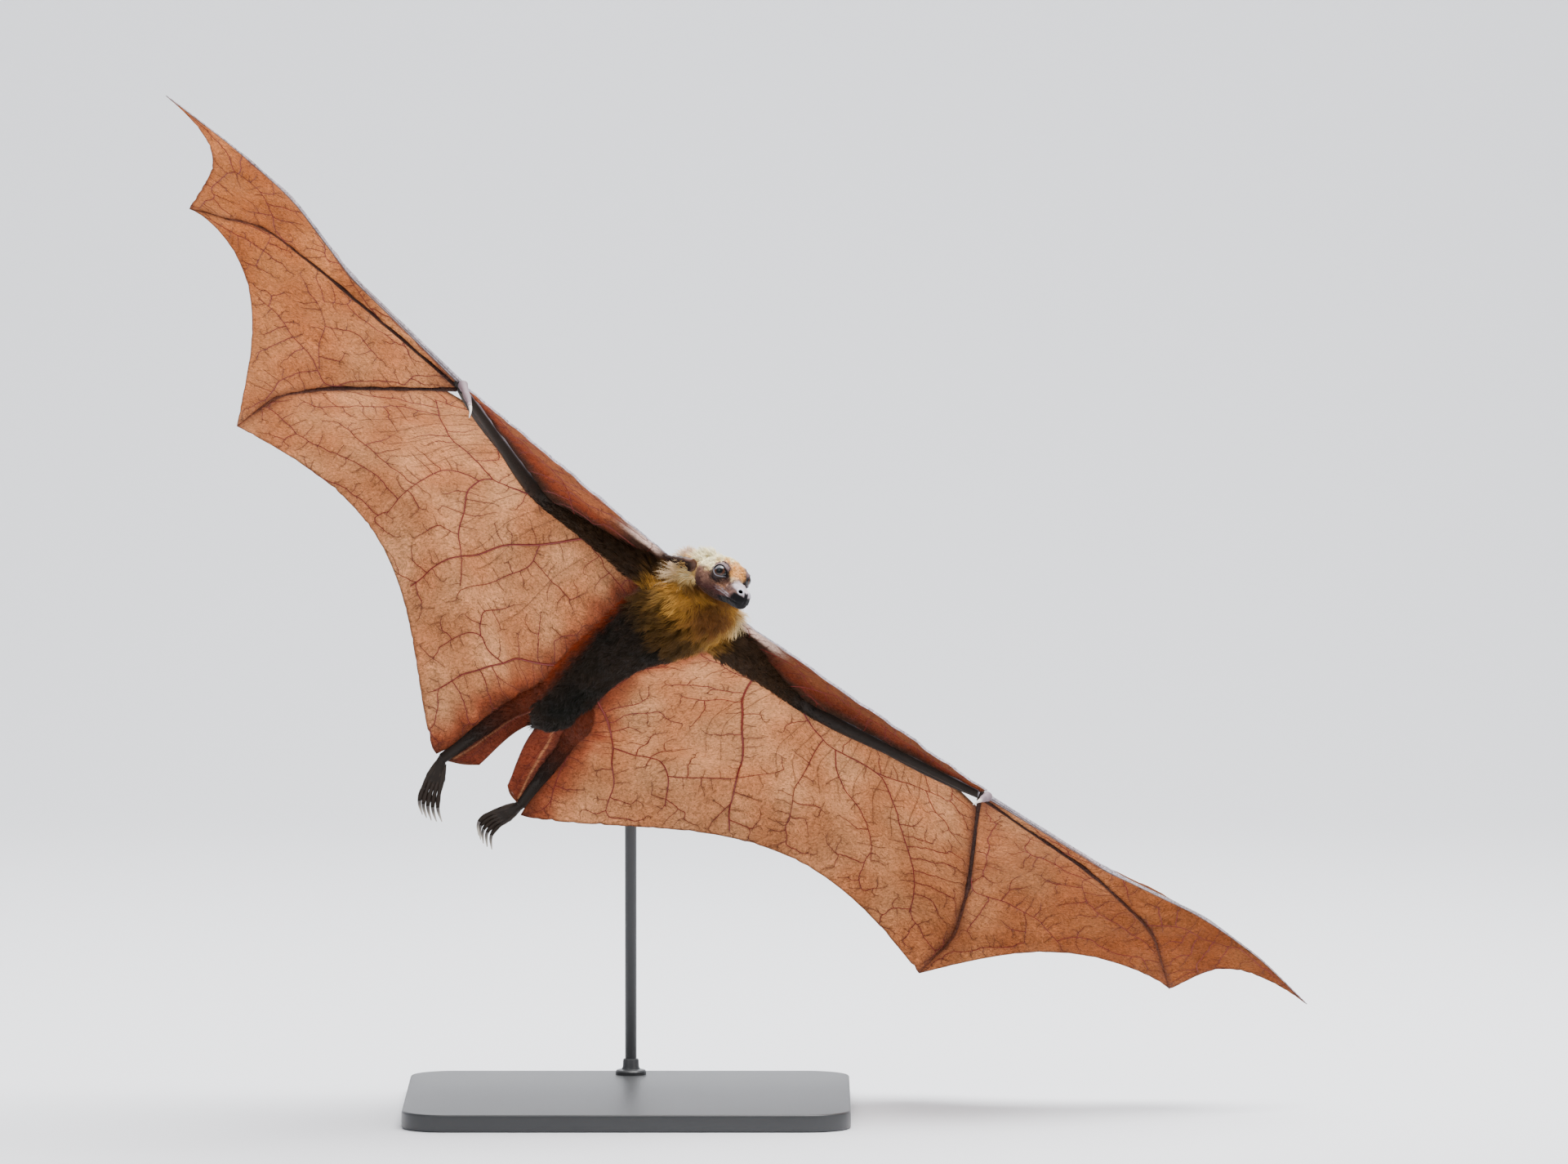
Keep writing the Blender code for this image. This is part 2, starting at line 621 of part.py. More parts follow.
def make_face(side, eye, ear, rooms):
    """The eye in its socket and the ear laid back."""
    outward = OUTWARD[side]
    x, y, z = EYE_PLACE
    place = from_head((x, y * outward, z))
    ball(f"eye_{side}", place, EYE_RADIUS, eye)
    socket = ball(f"socket_{side}", place, EYE_RADIUS + GAP, eye)

    aim = unit(np.array(EAR_AIM) * (1, outward, 1))
    flat = unit(np.cross(aim, (0, outward, 0.25)))
    out = unit(np.cross(flat, aim)) * 1.0
    if out[1] * outward < 0:
        out = -out
    length = np.linspace(0, 1, 8)[:, None, None]
    spread = np.radians(np.linspace(-75, 75, 6))[None, :, None]
    half = EAR_WIDTH / 2 * np.interp(length, (0, 0.3, 0.6, 0.85, 1), (0.72, 1.0, 0.85, 0.42, 0.12))
    base = np.array(EAR_BASE) * (1, outward, 1)
    grid = base + aim * EAR_LENGTH * length + flat * half * np.sin(spread) + out * half * (0.9 - np.cos(spread))
    made = sheet(f"ear_{side}", from_head(grid), EAR_THICK, ear)
    clear_of(made, rooms)
    return socket


def make_nostril(side, finish):
    """One of the two short tubes that the nose ends in."""
    x, y, z = NOSTRIL_PLACE
    start = np.array([x - 4, (y - 0.9) * OUTWARD[side], z - 0.4])
    end = np.array([x + 2.6, (y + 0.5) * OUTWARD[side], z + 0.3])
    return sweep(f"nostril_{side}", from_head(np.array([start, end])), (0, 0.5, 1), (2.6, 2.6, 2.3), 8, finish)


# ---- stand -----------------------------------------------------------------------------------


def make_stand(finish, trunk_room):
    """A flat plate and a rod that rises behind the wings and reaches forward to the back."""
    wide, deep, high = (size * MM for size in STAND_BASE)
    corner = STAND_CORNER * MM
    turn = np.linspace(0, math.pi / 2, 5)
    outline = []
    for quarter, (sx, sy) in enumerate(((1, 1), (-1, 1), (-1, -1), (1, -1))):
        angle = turn + quarter * math.pi / 2
        centre = np.array([sx * (wide / 2 - corner), sy * (deep / 2 - corner)])
        outline.append(centre + corner * np.stack([np.cos(angle), np.sin(angle)], -1))
    outline = np.concatenate(outline)
    rings = [np.column_stack([outline, np.full(len(outline), z)]) for z in (0, high)]
    base = build("stand_base", np.concatenate(rings), rings_faces(2, len(outline)), finish, place=np.asarray)
    edge = base.modifiers.new("edge", "BEVEL")
    edge.width = 1.2 * MM
    edge.segments = 2
    edge.limit_method = "ANGLE"

    x, y = ROD_ON_TRUNK
    top = in_world((x, y, trunk_at(x, 2) + trunk_at(x, 4) - 6)) / MM
    back = ROD_BACK_Y / MM
    foot = np.array([top[0], back, STAND_BASE[2] + GAP])
    path = rounded([top, np.array([top[0], back, top[2]]), foot], ROD_BEND, 8)
    lengths = np.concatenate([[0], np.cumsum(np.linalg.norm(np.diff(path, axis=0), axis=1))])
    shares, radii = lengths / lengths[-1], [ROD_RADIUS] * len(path)
    rod = sweep("stand_rod", path, shares, radii, ROD_SIDES, finish, place=lambda points: points * MM)
    clear_of(rod, [trunk_room])


def main():
    for old in list(bpy.data.objects):
        bpy.data.objects.remove(old, do_unlink=True)
    gold = material("golden coat", (0.55, 0.33, 0.09))
    dark = material("dark coat", (0.07, 0.035, 0.02))
    face = material("face", (0.33, 0.21, 0.12))
    wing = material("wing skin", (0.50, 0.24, 0.15), 0.5)
    bone = material("finger skin", (0.14, 0.07, 0.05), 0.5)
    pale = material("pale claw", (0.42, 0.36, 0.33), 0.4)
    eye = material("eye", (0.10, 0.04, 0.015), 0.08)
    steel = material("painted steel", (0.05, 0.05, 0.055), 0.4, 0.6)

    make_trunk("trunk", gold)
    trunk_room = make_trunk("trunk_room", gold, GAP)
    guide(trunk_room)
    make_neck("neck", gold)
    neck_room = make_neck("neck_room", gold, GAP)
    guide(neck_room)
    head = make_head("head", face)
    head_room = make_head("head_room", face, GAP)
    guide(head_room)
    joined(head, [make_nostril(side, face) for side in OUTWARD])
    sockets = [make_face(side, eye, dark, (head_room, neck_room)) for side in OUTWARD]
    clear_of(head, sockets)
    for side in OUTWARD:
        names = f"upper_arm_{side}", f"forearm_{side}"
        clear_of(make_limb(names, arm(side), ELBOW_RING, dark)[0], [trunk_room])
        make_hand(side, dark)
        palm_room = make_hand(side, dark, GAP)
        guide(palm_room)
        make_digits(side, bone, pale, palm_room)
        names = f"thigh_{side}", f"shin_{side}"
        clear_of(make_limb(names, leg(side), KNEE_RING, dark)[0], [trunk_room])
        make_foot(side, dark)
        make_fore_membrane(side, wing)
        make_arm_membrane(side, wing)
        make_hand_membranes(side, wing)
        make_tail_membrane(side, wing, bone)
    make_stand(steel, trunk_room)


main()
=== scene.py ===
"""A flying fox gliding in a steep bank, dressed for display: skin, wings, veins, coat, eyes, claws and stand.

Lengths in the tables are millimetres in the bat's own axes: x towards the head, y to its left, z to its
back, from the point midway between the shoulders. in_world turns them into world metres.
"""

import math

import bpy
import numpy as np
from mathutils import Euler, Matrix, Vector
from mathutils.bvhtree import BVHTree


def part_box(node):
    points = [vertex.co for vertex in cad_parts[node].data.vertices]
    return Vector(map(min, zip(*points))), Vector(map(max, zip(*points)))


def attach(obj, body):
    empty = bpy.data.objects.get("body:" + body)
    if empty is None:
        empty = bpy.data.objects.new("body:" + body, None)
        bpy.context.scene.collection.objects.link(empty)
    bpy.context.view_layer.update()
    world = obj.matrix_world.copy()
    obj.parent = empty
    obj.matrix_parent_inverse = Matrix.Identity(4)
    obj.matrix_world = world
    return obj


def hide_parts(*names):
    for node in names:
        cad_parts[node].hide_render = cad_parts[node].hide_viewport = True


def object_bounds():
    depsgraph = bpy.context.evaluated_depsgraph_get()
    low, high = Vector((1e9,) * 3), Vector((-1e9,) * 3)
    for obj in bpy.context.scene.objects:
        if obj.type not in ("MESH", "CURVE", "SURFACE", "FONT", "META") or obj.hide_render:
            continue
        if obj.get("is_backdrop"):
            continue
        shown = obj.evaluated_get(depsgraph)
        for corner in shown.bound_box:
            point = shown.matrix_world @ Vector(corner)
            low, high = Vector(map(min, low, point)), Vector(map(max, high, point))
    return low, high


bl_info = {
    "name": "Flying fox model",
    "version": (1, 0, 0),
    "blender": (4, 5, 0),
    "location": "3D View > Sidebar > Flying fox",
    "description": "Builds the skin, wings, coat and stand of a gliding fruit bat",
    "category": "Object",
}

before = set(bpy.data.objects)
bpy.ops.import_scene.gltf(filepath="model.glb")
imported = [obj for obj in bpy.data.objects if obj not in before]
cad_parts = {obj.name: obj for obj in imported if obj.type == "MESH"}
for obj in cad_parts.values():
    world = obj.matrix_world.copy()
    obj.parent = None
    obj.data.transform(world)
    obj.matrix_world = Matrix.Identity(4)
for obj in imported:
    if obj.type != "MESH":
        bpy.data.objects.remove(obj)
CAD_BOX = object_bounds()

MM = 0.001
SIDES = {"left": 1, "right": -1}
SHOULDERS = np.array([0.045, -0.080, 0.345])
BANK = np.array(Euler([math.radians(a) for a in (-50.0, -33.0, -38.5)], "XYZ").to_matrix())

# Joints of each side, y counted outwards from the middle.
JOINTS = {
    "left": {
        "shoulder": (-1, 35, -1),
        "elbow": (-35, 119, 47),
        "wrist": (49, 227, -14),
        "thumb": (71, 209, -60),
        "finger_3": ((62, 330, -4), (70, 406, 16), (60, 508, 31)),
        "finger_4": ((47, 327, 2), (38, 389, 9), (2, 435, 21)),
        "finger_5": ((-38, 285, 14), (-79, 309, 18), (-124, 316, 20)),
        "hip": (-128, 13, -4),
        "knee": (-166, 26, 17),
        "ankle": (-219, 35, 0),
        "heel": (-226, 41, 0),
        "toes": (-262, 29, -3),
        "spur": (-213, 18, 0),
    },
    "right": {
        "shoulder": (1, 35, 1),
        "elbow": (-45, 113, 46),
        "wrist": (26, 230, -15),
        "thumb": (47, 226, -65),
        "finger_3": ((27, 334, -3), (55, 406, -18), (36, 508, 3)),
        "finger_4": ((12, 332, 1), (6, 395, 5), (-36, 432, 23)),
        "finger_5": ((-66, 278, 12), (-109, 292, 26), (-154, 291, 32)),
        "hip": (-130, 17, -3),
        "knee": (-171, 18, 16),
        "ankle": (-227, 28, -6),
        "heel": (-229, 33.5, -6),
        "toes": (-258, 13, -20),
        "spur": (-213, 7, -3),
    },
}

# Unit vectors along the bat's own second and third axes: across its body, and out of its back.
ACROSS = np.array([0, 1.0, 0])
DORSAL = np.array([0, 0, 1.0])

# The coated body: x, sideways and dorsal place of its middle, half width, half depth, coat depth.
TRUNK = (
    (16, -3, -5, 28, 22, 6.5),
    (4, -5, -7, 31.5, 25, 6.5),
    (-14, -8, -8, 31, 26.5, 6.0),
    (-37, -12, -7, 26, 25, 5.0),
    (-60, -13.5, -5, 22, 22, 4.5),
    (-88, -13, -4, 20, 19, 4.0),
    (-112, -10, -4, 19.5, 17, 3.5),
    (-132, -6, -4, 17, 14, 3.2),
    (-147, -5, -3, 12, 10, 3.0),
    (-155, -5, -2, 5, 4, 2.0),
)
HEAD_PLACE = np.array([46.0, -11.0, -17.0])
HEAD_TURN = np.array(Euler([math.radians(a) for a in (33.6, 47.4, 20.2)], "XYZ").to_matrix())
# In the head's axes: x, height of the middle, half width, half height, squareness, coat depth.
HEAD = (
    (-17, 0.0, 15.5, 14.8, 2.0, 4.0),
    (-9, 0.4, 16.2, 15.4, 2.0, 2.6),
    (-1, 0.2, 15.8, 15.0, 2.0, 1.9),
    (6, -0.4, 13.8, 13.9, 2.0, 1.5),
    (12, -1.2, 11.2, 12.2, 2.1, 1.1),
    (18, -2.2, 8.8, 10.2, 2.2, 0.8),
    (24, -3.4, 7.6, 8.6, 2.3, 0.5),
    (30, -4.4, 7.0, 7.5, 2.3, 0.25),
    (35, -4.9, 6.0, 6.6, 2.2, 0.1),
    (38, -5.0, 4.4, 5.2, 2.0, 0.05),
    (39.4, -4.8, 2.2, 2.6, 2.0, 0.0),
)
EYE_PLACE = np.array([11.6, 8.3, 5.1])
EYE_RADIUS = 5.8
EYE_AIM = (0.56, 0.79, 0.24)
# Half length and half height of the opening between the lids, and how far its front corner reaches beyond.
LID = (4.9, 3.9, 1.0)
NOSTRIL_PLACE = (35.6, 3.1, -0.4)
NOSTRIL = (1.75, 1.35)
EAR_BASE = (-16.5, 16.8, 2.5)
EAR_AIM = (-25, 10.3, -6)
EAR_LENGTH = 25.0
EAR_WIDTH = 12.0
EAR_ROLL = math.radians(80)

EAR_OUTLINE = ((-0.12, 0.6), (0, 0.95), (0.3, 0.9), (0.6, 0.55), (0.85, 0.24), (1, 0.05))
ARM_MARKS = ((0,), (0, 0.15, 0.4, 0.7, 0.92), (0, 0.06, 0.2, 0.4, 0.6, 0.8, 1))
ARM = (14.0, 14.0, 13.0, 10.5, 8.0, 6.8, 6.6, 6.8, 7.0, 5.8, 4.6, 3.8, 3.5)
ARM_COAT = (5.0, 4.5, 3.6, 2.4, 1.6, 1.0, 0.8, 0.6, 0.4, 0.2, 0.1, 0.0, 0.0)
LEG_MARKS = ((0,), (0, 0.25, 0.6, 0.88), (0, 0.1, 0.35, 0.7, 1))
LEG = (9.5, 9.2, 8.8, 7.6, 6.6, 6.4, 6.3, 6.0, 4.6, 3.6)
LEG_COAT = (3.0, 3.0, 2.6, 2.0, 1.6, 1.4, 1.2, 0.9, 0.4, 0.0)
FINGER_MARKS = ((0, 0.09, 0.55, 0.9), (0, 0.1, 0.5, 0.9), (0, 0.12, 0.5, 1))
FINGERS = {
    "finger_2": (1.5, 1.4, 1.3, 1.5, 1.2, 1.3, 0.4),
    "finger_3": (1.9, 1.8, 1.6, 1.8, 2.1, 1.6, 1.4, 1.4, 1.6, 1.2, 0.8, 0.4),
    "finger_4": (2.0, 1.7, 1.5, 1.7, 2.0, 1.5, 1.3, 1.3, 1.5, 1.1, 0.8, 0.4),
    "finger_5": (2.2, 1.8, 1.6, 1.8, 2.1, 1.6, 1.3, 1.3, 1.5, 1.1, 0.8, 0.4),
}
FINGER_BOW = {"left": 5.0, "right": 2.5}
FINGER_BASES = {
    "finger_2": (5.0, 2.0),
    "finger_3": (1.5, 3.5),
    "finger_4": (-3.3, 3.5),
    "finger_5": (-6.0, 0.5),
}
THUMB = (3.4, 2.6, 2.3, 2.5, 1.9, 1.4, 0.9, 0.4)
TOE = (2.1, 2.1, 1.8, 1.7, 1.4, 1.7, 1.25, 0.9, 0.35)
SPUR = (1.3, 1.1, 0.9, 0.4)
LEADING_CORD = (0.2, 0.8, 0.8, 0.7)
FLANK = (-4, -22, -54, -90)
# The small flap's free edge: x, distance from the middle, z.
TAIL_EDGE = ((-146, 0, -3), (-155, 1, -2), (-166, 3.5, -2))
LEADING_END = {"left": 6.0, "right": 3.0}
LEADING_ROOT = {"left": (14.2, 19.2, 4.6), "right": (18.8, 37.3, 1.7)}
# How far each free edge is drawn in, and its skew.
TRAIL = {"left": (46, 1.28), "right": (44, 1.25)}
HAND_MEMBRANES = {
    "left": (
        ("dactylopatagium_longus", "finger_3", "finger_4", 39, 0.5),
        ("dactylopatagium_latus", "finger_4", "finger_5", 31, 0.75),
    ),
    "right": (
        ("dactylopatagium_longus", "finger_3", "finger_4", 35, 0.45),
        ("dactylopatagium_latus", "finger_4", "finger_5", 33, 0.6),
    ),
}
# Main vessels of each membrane: half width in mm, then places as shares across and along it.
VESSELS = {
    ("right", "plagiopatagium"): (
        (0.80, ((0.43, 0.0), (0.5, 0.1), (0.55, 0.18))),
        (0.60, ((0.55, 0.18), (0.66, 0.21), (0.74, 0.24), (0.85, 0.2), (0.94, 0.12))),
        (0.60, ((0.55, 0.18), (0.56, 0.27), (0.54, 0.38), (0.49, 0.47),
                (0.45, 0.57), (0.39, 0.65), (0.33, 0.73))),
        (0.50, ((0.56, 0.27), (0.6, 0.32), (0.62, 0.38), (0.63, 0.49), (0.61, 0.73), (0.6, 0.9))),
        (0.80, ((0.24, 0.0), (0.3, 0.21), (0.35, 0.35), (0.38, 0.55), (0.41, 0.79), (0.42, 0.95))),
        (0.45, ((0.3, 0.21), (0.27, 0.33), (0.29, 0.48), (0.32, 0.74))),
        (0.80, ((0.02, 0.46), (0.09, 0.58), (0.1, 0.68), (0.12, 0.78), (0.14, 0.85), (0.15, 0.95))),
        (0.55, ((0.1, 0.68), (0.15, 0.72), (0.19, 0.73), (0.22, 0.78), (0.24, 0.9))),
        (0.50, ((0.19, 0.73), (0.22, 0.71), (0.24, 0.66), (0.22, 0.53))),
    ),
    ("left", "plagiopatagium"): (
        (0.85, ((0.23, 0.0), (0.31, 0.18), (0.37, 0.31), (0.4, 0.47),
                (0.4, 0.69), (0.42, 0.84), (0.45, 0.96))),
        (0.45, ((0.42, 0.84), (0.41, 0.93))),
        (0.85, ((0.0, 0.45), (0.05, 0.53), (0.09, 0.67))),
        (0.60, ((0.09, 0.67), (0.11, 0.75), (0.15, 0.84), (0.17, 0.94))),
        (0.65, ((0.09, 0.67), (0.14, 0.69), (0.2, 0.69), (0.25, 0.77), (0.29, 0.9))),
        (0.45, ((0.25, 0.77), (0.33, 0.75), (0.4, 0.71), (0.47, 0.59), (0.5, 0.53))),
        (0.50, ((0.0, 0.66), (0.015, 0.8), (0.03, 0.87), (0.05, 0.95))),
        (0.70, ((0.44, 0.0), (0.56, 0.19), (0.6, 0.23))),
        (0.50, ((0.6, 0.23), (0.64, 0.46), (0.7, 0.58), (0.75, 0.8))),
        (0.60, ((0.6, 0.23), (0.71, 0.24), (0.74, 0.27), (0.78, 0.4),
                (0.81, 0.55), (0.85, 0.67), (0.89, 0.85))),
        (0.50, ((0.71, 0.24), (0.83, 0.16), (0.9, 0.13))),
        (0.40, ((0.56, 0.19), (0.56, 0.41), (0.53, 0.64), (0.55, 0.85))),
    ),
    ("right", "dactylopatagium_latus"): (
        (0.45, ((1.0, 0.45), (0.96, 0.54), (0.76, 0.63), (0.63, 0.75), (0.5, 0.84), (0.41, 0.95))),
        (0.35, ((0.84, 0.58), (0.66, 0.6), (0.5, 0.58), (0.38, 0.62))),
        (0.30, ((0.0, 0.4), (0.2, 0.46), (0.34, 0.58))),
        (0.30, ((0.0, 0.72), (0.12, 0.78), (0.25, 0.9))),
    ),
    ("right", "dactylopatagium_longus"): (
        (0.40, ((1.0, 0.66), (0.91, 0.71), (0.75, 0.74), (0.54, 0.82), (0.48, 0.9))),
        (0.30, ((1.0, 0.3), (0.7, 0.4), (0.5, 0.5))),
    ),
    ("left", "dactylopatagium_latus"): (
        (0.45, ((1.0, 0.45), (0.96, 0.54), (0.76, 0.63), (0.65, 0.71), (0.56, 0.78), (0.45, 0.93))),
        (0.30, ((0.65, 0.71), (0.59, 0.92))),
        (0.30, ((0.0, 0.45), (0.2, 0.52), (0.3, 0.66))),
    ),
    ("left", "dactylopatagium_longus"): (
        (0.40, ((1.0, 0.7), (0.84, 0.73), (0.68, 0.77), (0.59, 0.84), (0.42, 0.86))),
        (0.30, ((1.0, 0.3), (0.7, 0.42), (0.5, 0.5))),
    ),
    ("right", "propatagium"): ((0.45, ((0.30, 0.0), (0.45, 0.55), (0.7, 0.5), (0.85, 0.5))),),
    ("left", "propatagium"): ((0.45, ((0.30, 0.0), (0.45, 0.55), (0.7, 0.5), (0.85, 0.5))),),
    ("right", "uropatagium"): ((0.35, ((0.1, 0.3), (0.6, 0.5), (0.95, 0.6))),),
    ("left", "uropatagium"): ((0.35, ((0.1, 0.3), (0.6, 0.5), (0.95, 0.6))),),
}

# Thin muscle strands that run back from the arm through the large membrane, as shares across it.
STRANDS = {
    "left": (0.3, 0.34, 0.48, 0.52, 0.58, 0.63, 0.67, 0.72, 0.77, 0.82),
    "right": (0.19, 0.34, 0.39, 0.46, 0.66, 0.7, 0.75, 0.8, 0.85),
}

# The least density, so that a place can still be drawn where nothing grows.
BALD = 1e-5

# Long locks and underfur: shares of a band's count; then the underfur's length and lift, as shares of a
# lock's, its width, and the width of every other tuft, in mm.
LOCKS, UNDERFUR = 0.55, 1.75
UNDERFUR_LENGTH, UNDERFUR_LIFT = 0.62, 0.85
UNDERFUR_WIDTH, TUFT_WIDTH = 0.42, 0.5
LIMB_TUFTS = 8500

# The side of a tuft's patch in the bake map, and the least half width of a limb, in mm.
TUFT_PATCH = 0.003
THINNEST = 0.15

# The rod's foot collar, radius and height over the plate; where the rod meets the trunk; the rod's radius.
COLLAR = ((10.5, 0), (10.5, 2.2), (9.7, 3.2), (6.4, 3.8), (5.6, 5.5), (5.4, 10.0), (4.9, 10.8), (4.0, 11.0))
ROD_ON_TRUNK = (-60, -10)
ROD_RADIUS = 4.0


# ---- curves and grids ------------------------------------------------------------------------


def unit(v):
    """The vector, or each row of vectors, at length one."""
    v = np.asarray(v, float)
    return v / np.maximum(np.linalg.norm(v, axis=-1, keepdims=True), 1e-9)


def ease(low, high, x):
    """0 below low and 1 above high, with 3t^2 - 2t^3 between them."""
    t = np.clip((np.asarray(x, float) - low) / (high - low), 0, 1)
    return t * t * (3 - 2 * t)


def mix(a, b, share):
    """a where share is 0 and b where it is 1, for colours or points."""
    share = np.asarray(share)[..., None]
    return a * (1 - share) + b * share


def painted(colour, *layers):
    """A colour under layers of others, each given as its colour and its share."""
    for layer, share in layers:
        colour = mix(colour, layer, share)
    return colour


def hump(x, middle, width):
    """1 at the middle, falling off to both sides as exp(-t^2)."""
    return np.exp(-(((x - middle) / width) ** 2))


def mirrored(place, side):
    """A place or direction, given for the left side, on this side."""
    return np.array(place, float) * (1, SIDES[side], 1)


def shares_of(grid):
    """How far down and how far across a grid each of its points is, from 0 to 1."""
    rows, columns = grid.shape[:2]
    return np.meshgrid(np.linspace(0, 1, rows), np.linspace(0, 1, columns), indexing="ij")


def joint(side, name):
    """A joint's place in the bat's axes, in mm."""
    return mirrored(JOINTS[side][name], side)


def in_world(points):
    """Points of the bat's own axes, in mm, as world metres."""
    return np.asarray(points) @ BANK.T * MM + SHOULDERS


def from_head(points):
    """Points of the head's axes in the bat's."""
    return np.asarray(points) @ HEAD_TURN.T + HEAD_PLACE


def to_head(points):
    """Points of the bat's axes in the head's."""
    return (np.asarray(points) - HEAD_PLACE) @ HEAD_TURN


def spline(knots, values, at):
    """Cubic Hermite curve through values at knots: its slope at a knot is that between the neighbours."""
    knots, values, at = (np.asarray(a, float) for a in (knots, values, at))
    slopes = np.gradient(values, knots, axis=0)
    k = np.clip(np.searchsorted(knots, at, side="right") - 1, 0, len(knots) - 2)
    tall = (-1,) + (1,) * (values.ndim - 1)
    span = (knots[k + 1] - knots[k]).reshape(tall)
    t = ((at - knots[k]) / (knots[k + 1] - knots[k])).reshape(tall)
    start = (2 * t**3 - 3 * t**2 + 1) * values[k] + (t**3 - 2 * t**2 + t) * span * slopes[k]
    return start + (3 * t**2 - 2 * t**3) * values[k + 1] + (t**3 - t**2) * span * slopes[k + 1]


def even(line, count):
    """The same line with this many points, evenly spaced along a spline through its own."""
    reach = lengths(line)
    return spline(reach, line, np.linspace(0, reach[-1], count))


def rounded(corners, cut, steps=4):
    """A path through the corners, each inner one rounded off over this length on both sides."""
    corners = [np.asarray(c, float) for c in corners]
    path = [corners[0]]
    for before, here, after in zip(corners, corners[1:], corners[2:]):
        start = here - unit(here - before) * min(cut, 0.45 * np.linalg.norm(here - before))
        end = here + unit(after - here) * min(cut, 0.45 * np.linalg.norm(after - here))
        for t in np.linspace(0, 1, steps):
            path.append((1 - t) ** 2 * start + 2 * t * (1 - t) * here + t * t * end)
    path.append(corners[-1])
    return np.array(path)


def lengths(path):
    """How far along the path each of its points is."""
    return np.concatenate([[0], np.cumsum(np.linalg.norm(np.diff(path, axis=0), axis=1))])


def along(path, shares):
    """The points at these shares of a path's length."""
    reach = lengths(path)
    return np.stack([np.interp(np.asarray(shares) * reach[-1], reach, path[:, k]) for k in range(3)], -1)


def directions(path, shares):
    """The unit tangent at these shares of a path, taken over two millimetres."""
    reach = 1.0 / lengths(path)[-1]
    ahead = along(path, np.clip(np.asarray(shares) + reach, 0, 1))
    return unit(ahead - along(path, np.clip(np.asarray(shares) - reach, 0, 1)))


def stations(path, joints, fractions):
    """Shares of a path at these fractions of each stretch between joints; the joints are points near it."""
    fine = np.linspace(0, 1, 801)
    points = along(path, fine)
    ends = [0.0, *(fine[np.linalg.norm(points - place, axis=1).argmin()] for place in joints), 1.0]
    return np.array([a + t * (b - a) for a, b, ts in zip(ends, ends[1:], fractions) for t in ts])


def frames(tangents, start=(0.1, 0.0, 1.0)):
    """Two unit vectors across each tangent, turned as little as possible from one to the next."""
    across = np.asarray(start, float)
    found = []
    for tangent in tangents:
        across = unit(across - tangent * (across @ tangent))
        found.append(across)
    first = np.array(found)
    return first, np.cross(tangents, first)


def superellipse(count, square):
    """count points round the unit curve |x|^n + |y|^n = 1, for each n in square: an array (n, count, 2)."""
    turn = 2 * math.pi * np.arange(count) / count
    power = 2 / np.asarray(square, float)[..., None]
    ring = [np.sign(f(turn)) * np.abs(f(turn)) ** power for f in (np.cos, np.sin)]
    return np.stack(ring, -1)


def ringed(centres, across, other, wide, high, square, count):
    """A grid of rings: centre + wide * x * across + high * y * other on a superellipse."""
    ring = superellipse(count, square)
    wide, high = np.asarray(wide)[:, None, None], np.asarray(high)[:, None, None]
    return centres[:, None] + ring[..., :1] * wide * across[:, None] + ring[..., 1:] * high * other[:, None]


def limb(path, shares, radii, steps, count):
    """A round limb: circles of a splined radius along a path, in even steps, as a grid."""
    at = np.linspace(shares[0], shares[-1], steps)
    radius = np.maximum(spline(shares, radii, at), THINNEST)
    across, other = frames(directions(path, at))
    return ringed(along(path, at), across, other, radius, radius, np.full(steps, 2.0), count)


def normals_of(grid, wrap=True):
    """Unit normals of a grid: the cross product of its two differences."""
    if wrap:
        wide = np.concatenate([grid[:, -1:], grid, grid[:, :1]], 1)
        return unit(np.cross(np.gradient(grid, axis=0), np.gradient(wide, axis=1)[:, 1:-1]))
    return unit(np.cross(np.gradient(grid, axis=0), np.gradient(grid, axis=1)))


def outward(grid):
    """Unit normals of a grid of rings, facing away from the rings' middles."""
    normal = normals_of(grid)
    return normal * np.sign(((grid - grid.mean(1, keepdims=True)) * normal).sum())


def noise(points, size, seed):
    """Smooth noise of about -1 to 1: a sum of sine waves in eight directions, of about this size in mm."""
    rng = np.random.default_rng(seed)
    way = unit(rng.normal(size=(8, 3))) * (2 * math.pi / size) * rng.uniform(0.6, 1.5, (8, 1))
    return np.sin(np.asarray(points) @ way.T + rng.uniform(0, 6.28, 8)).sum(-1) / 3.2


# ---- meshes ----------------------------------------------------------------------------------


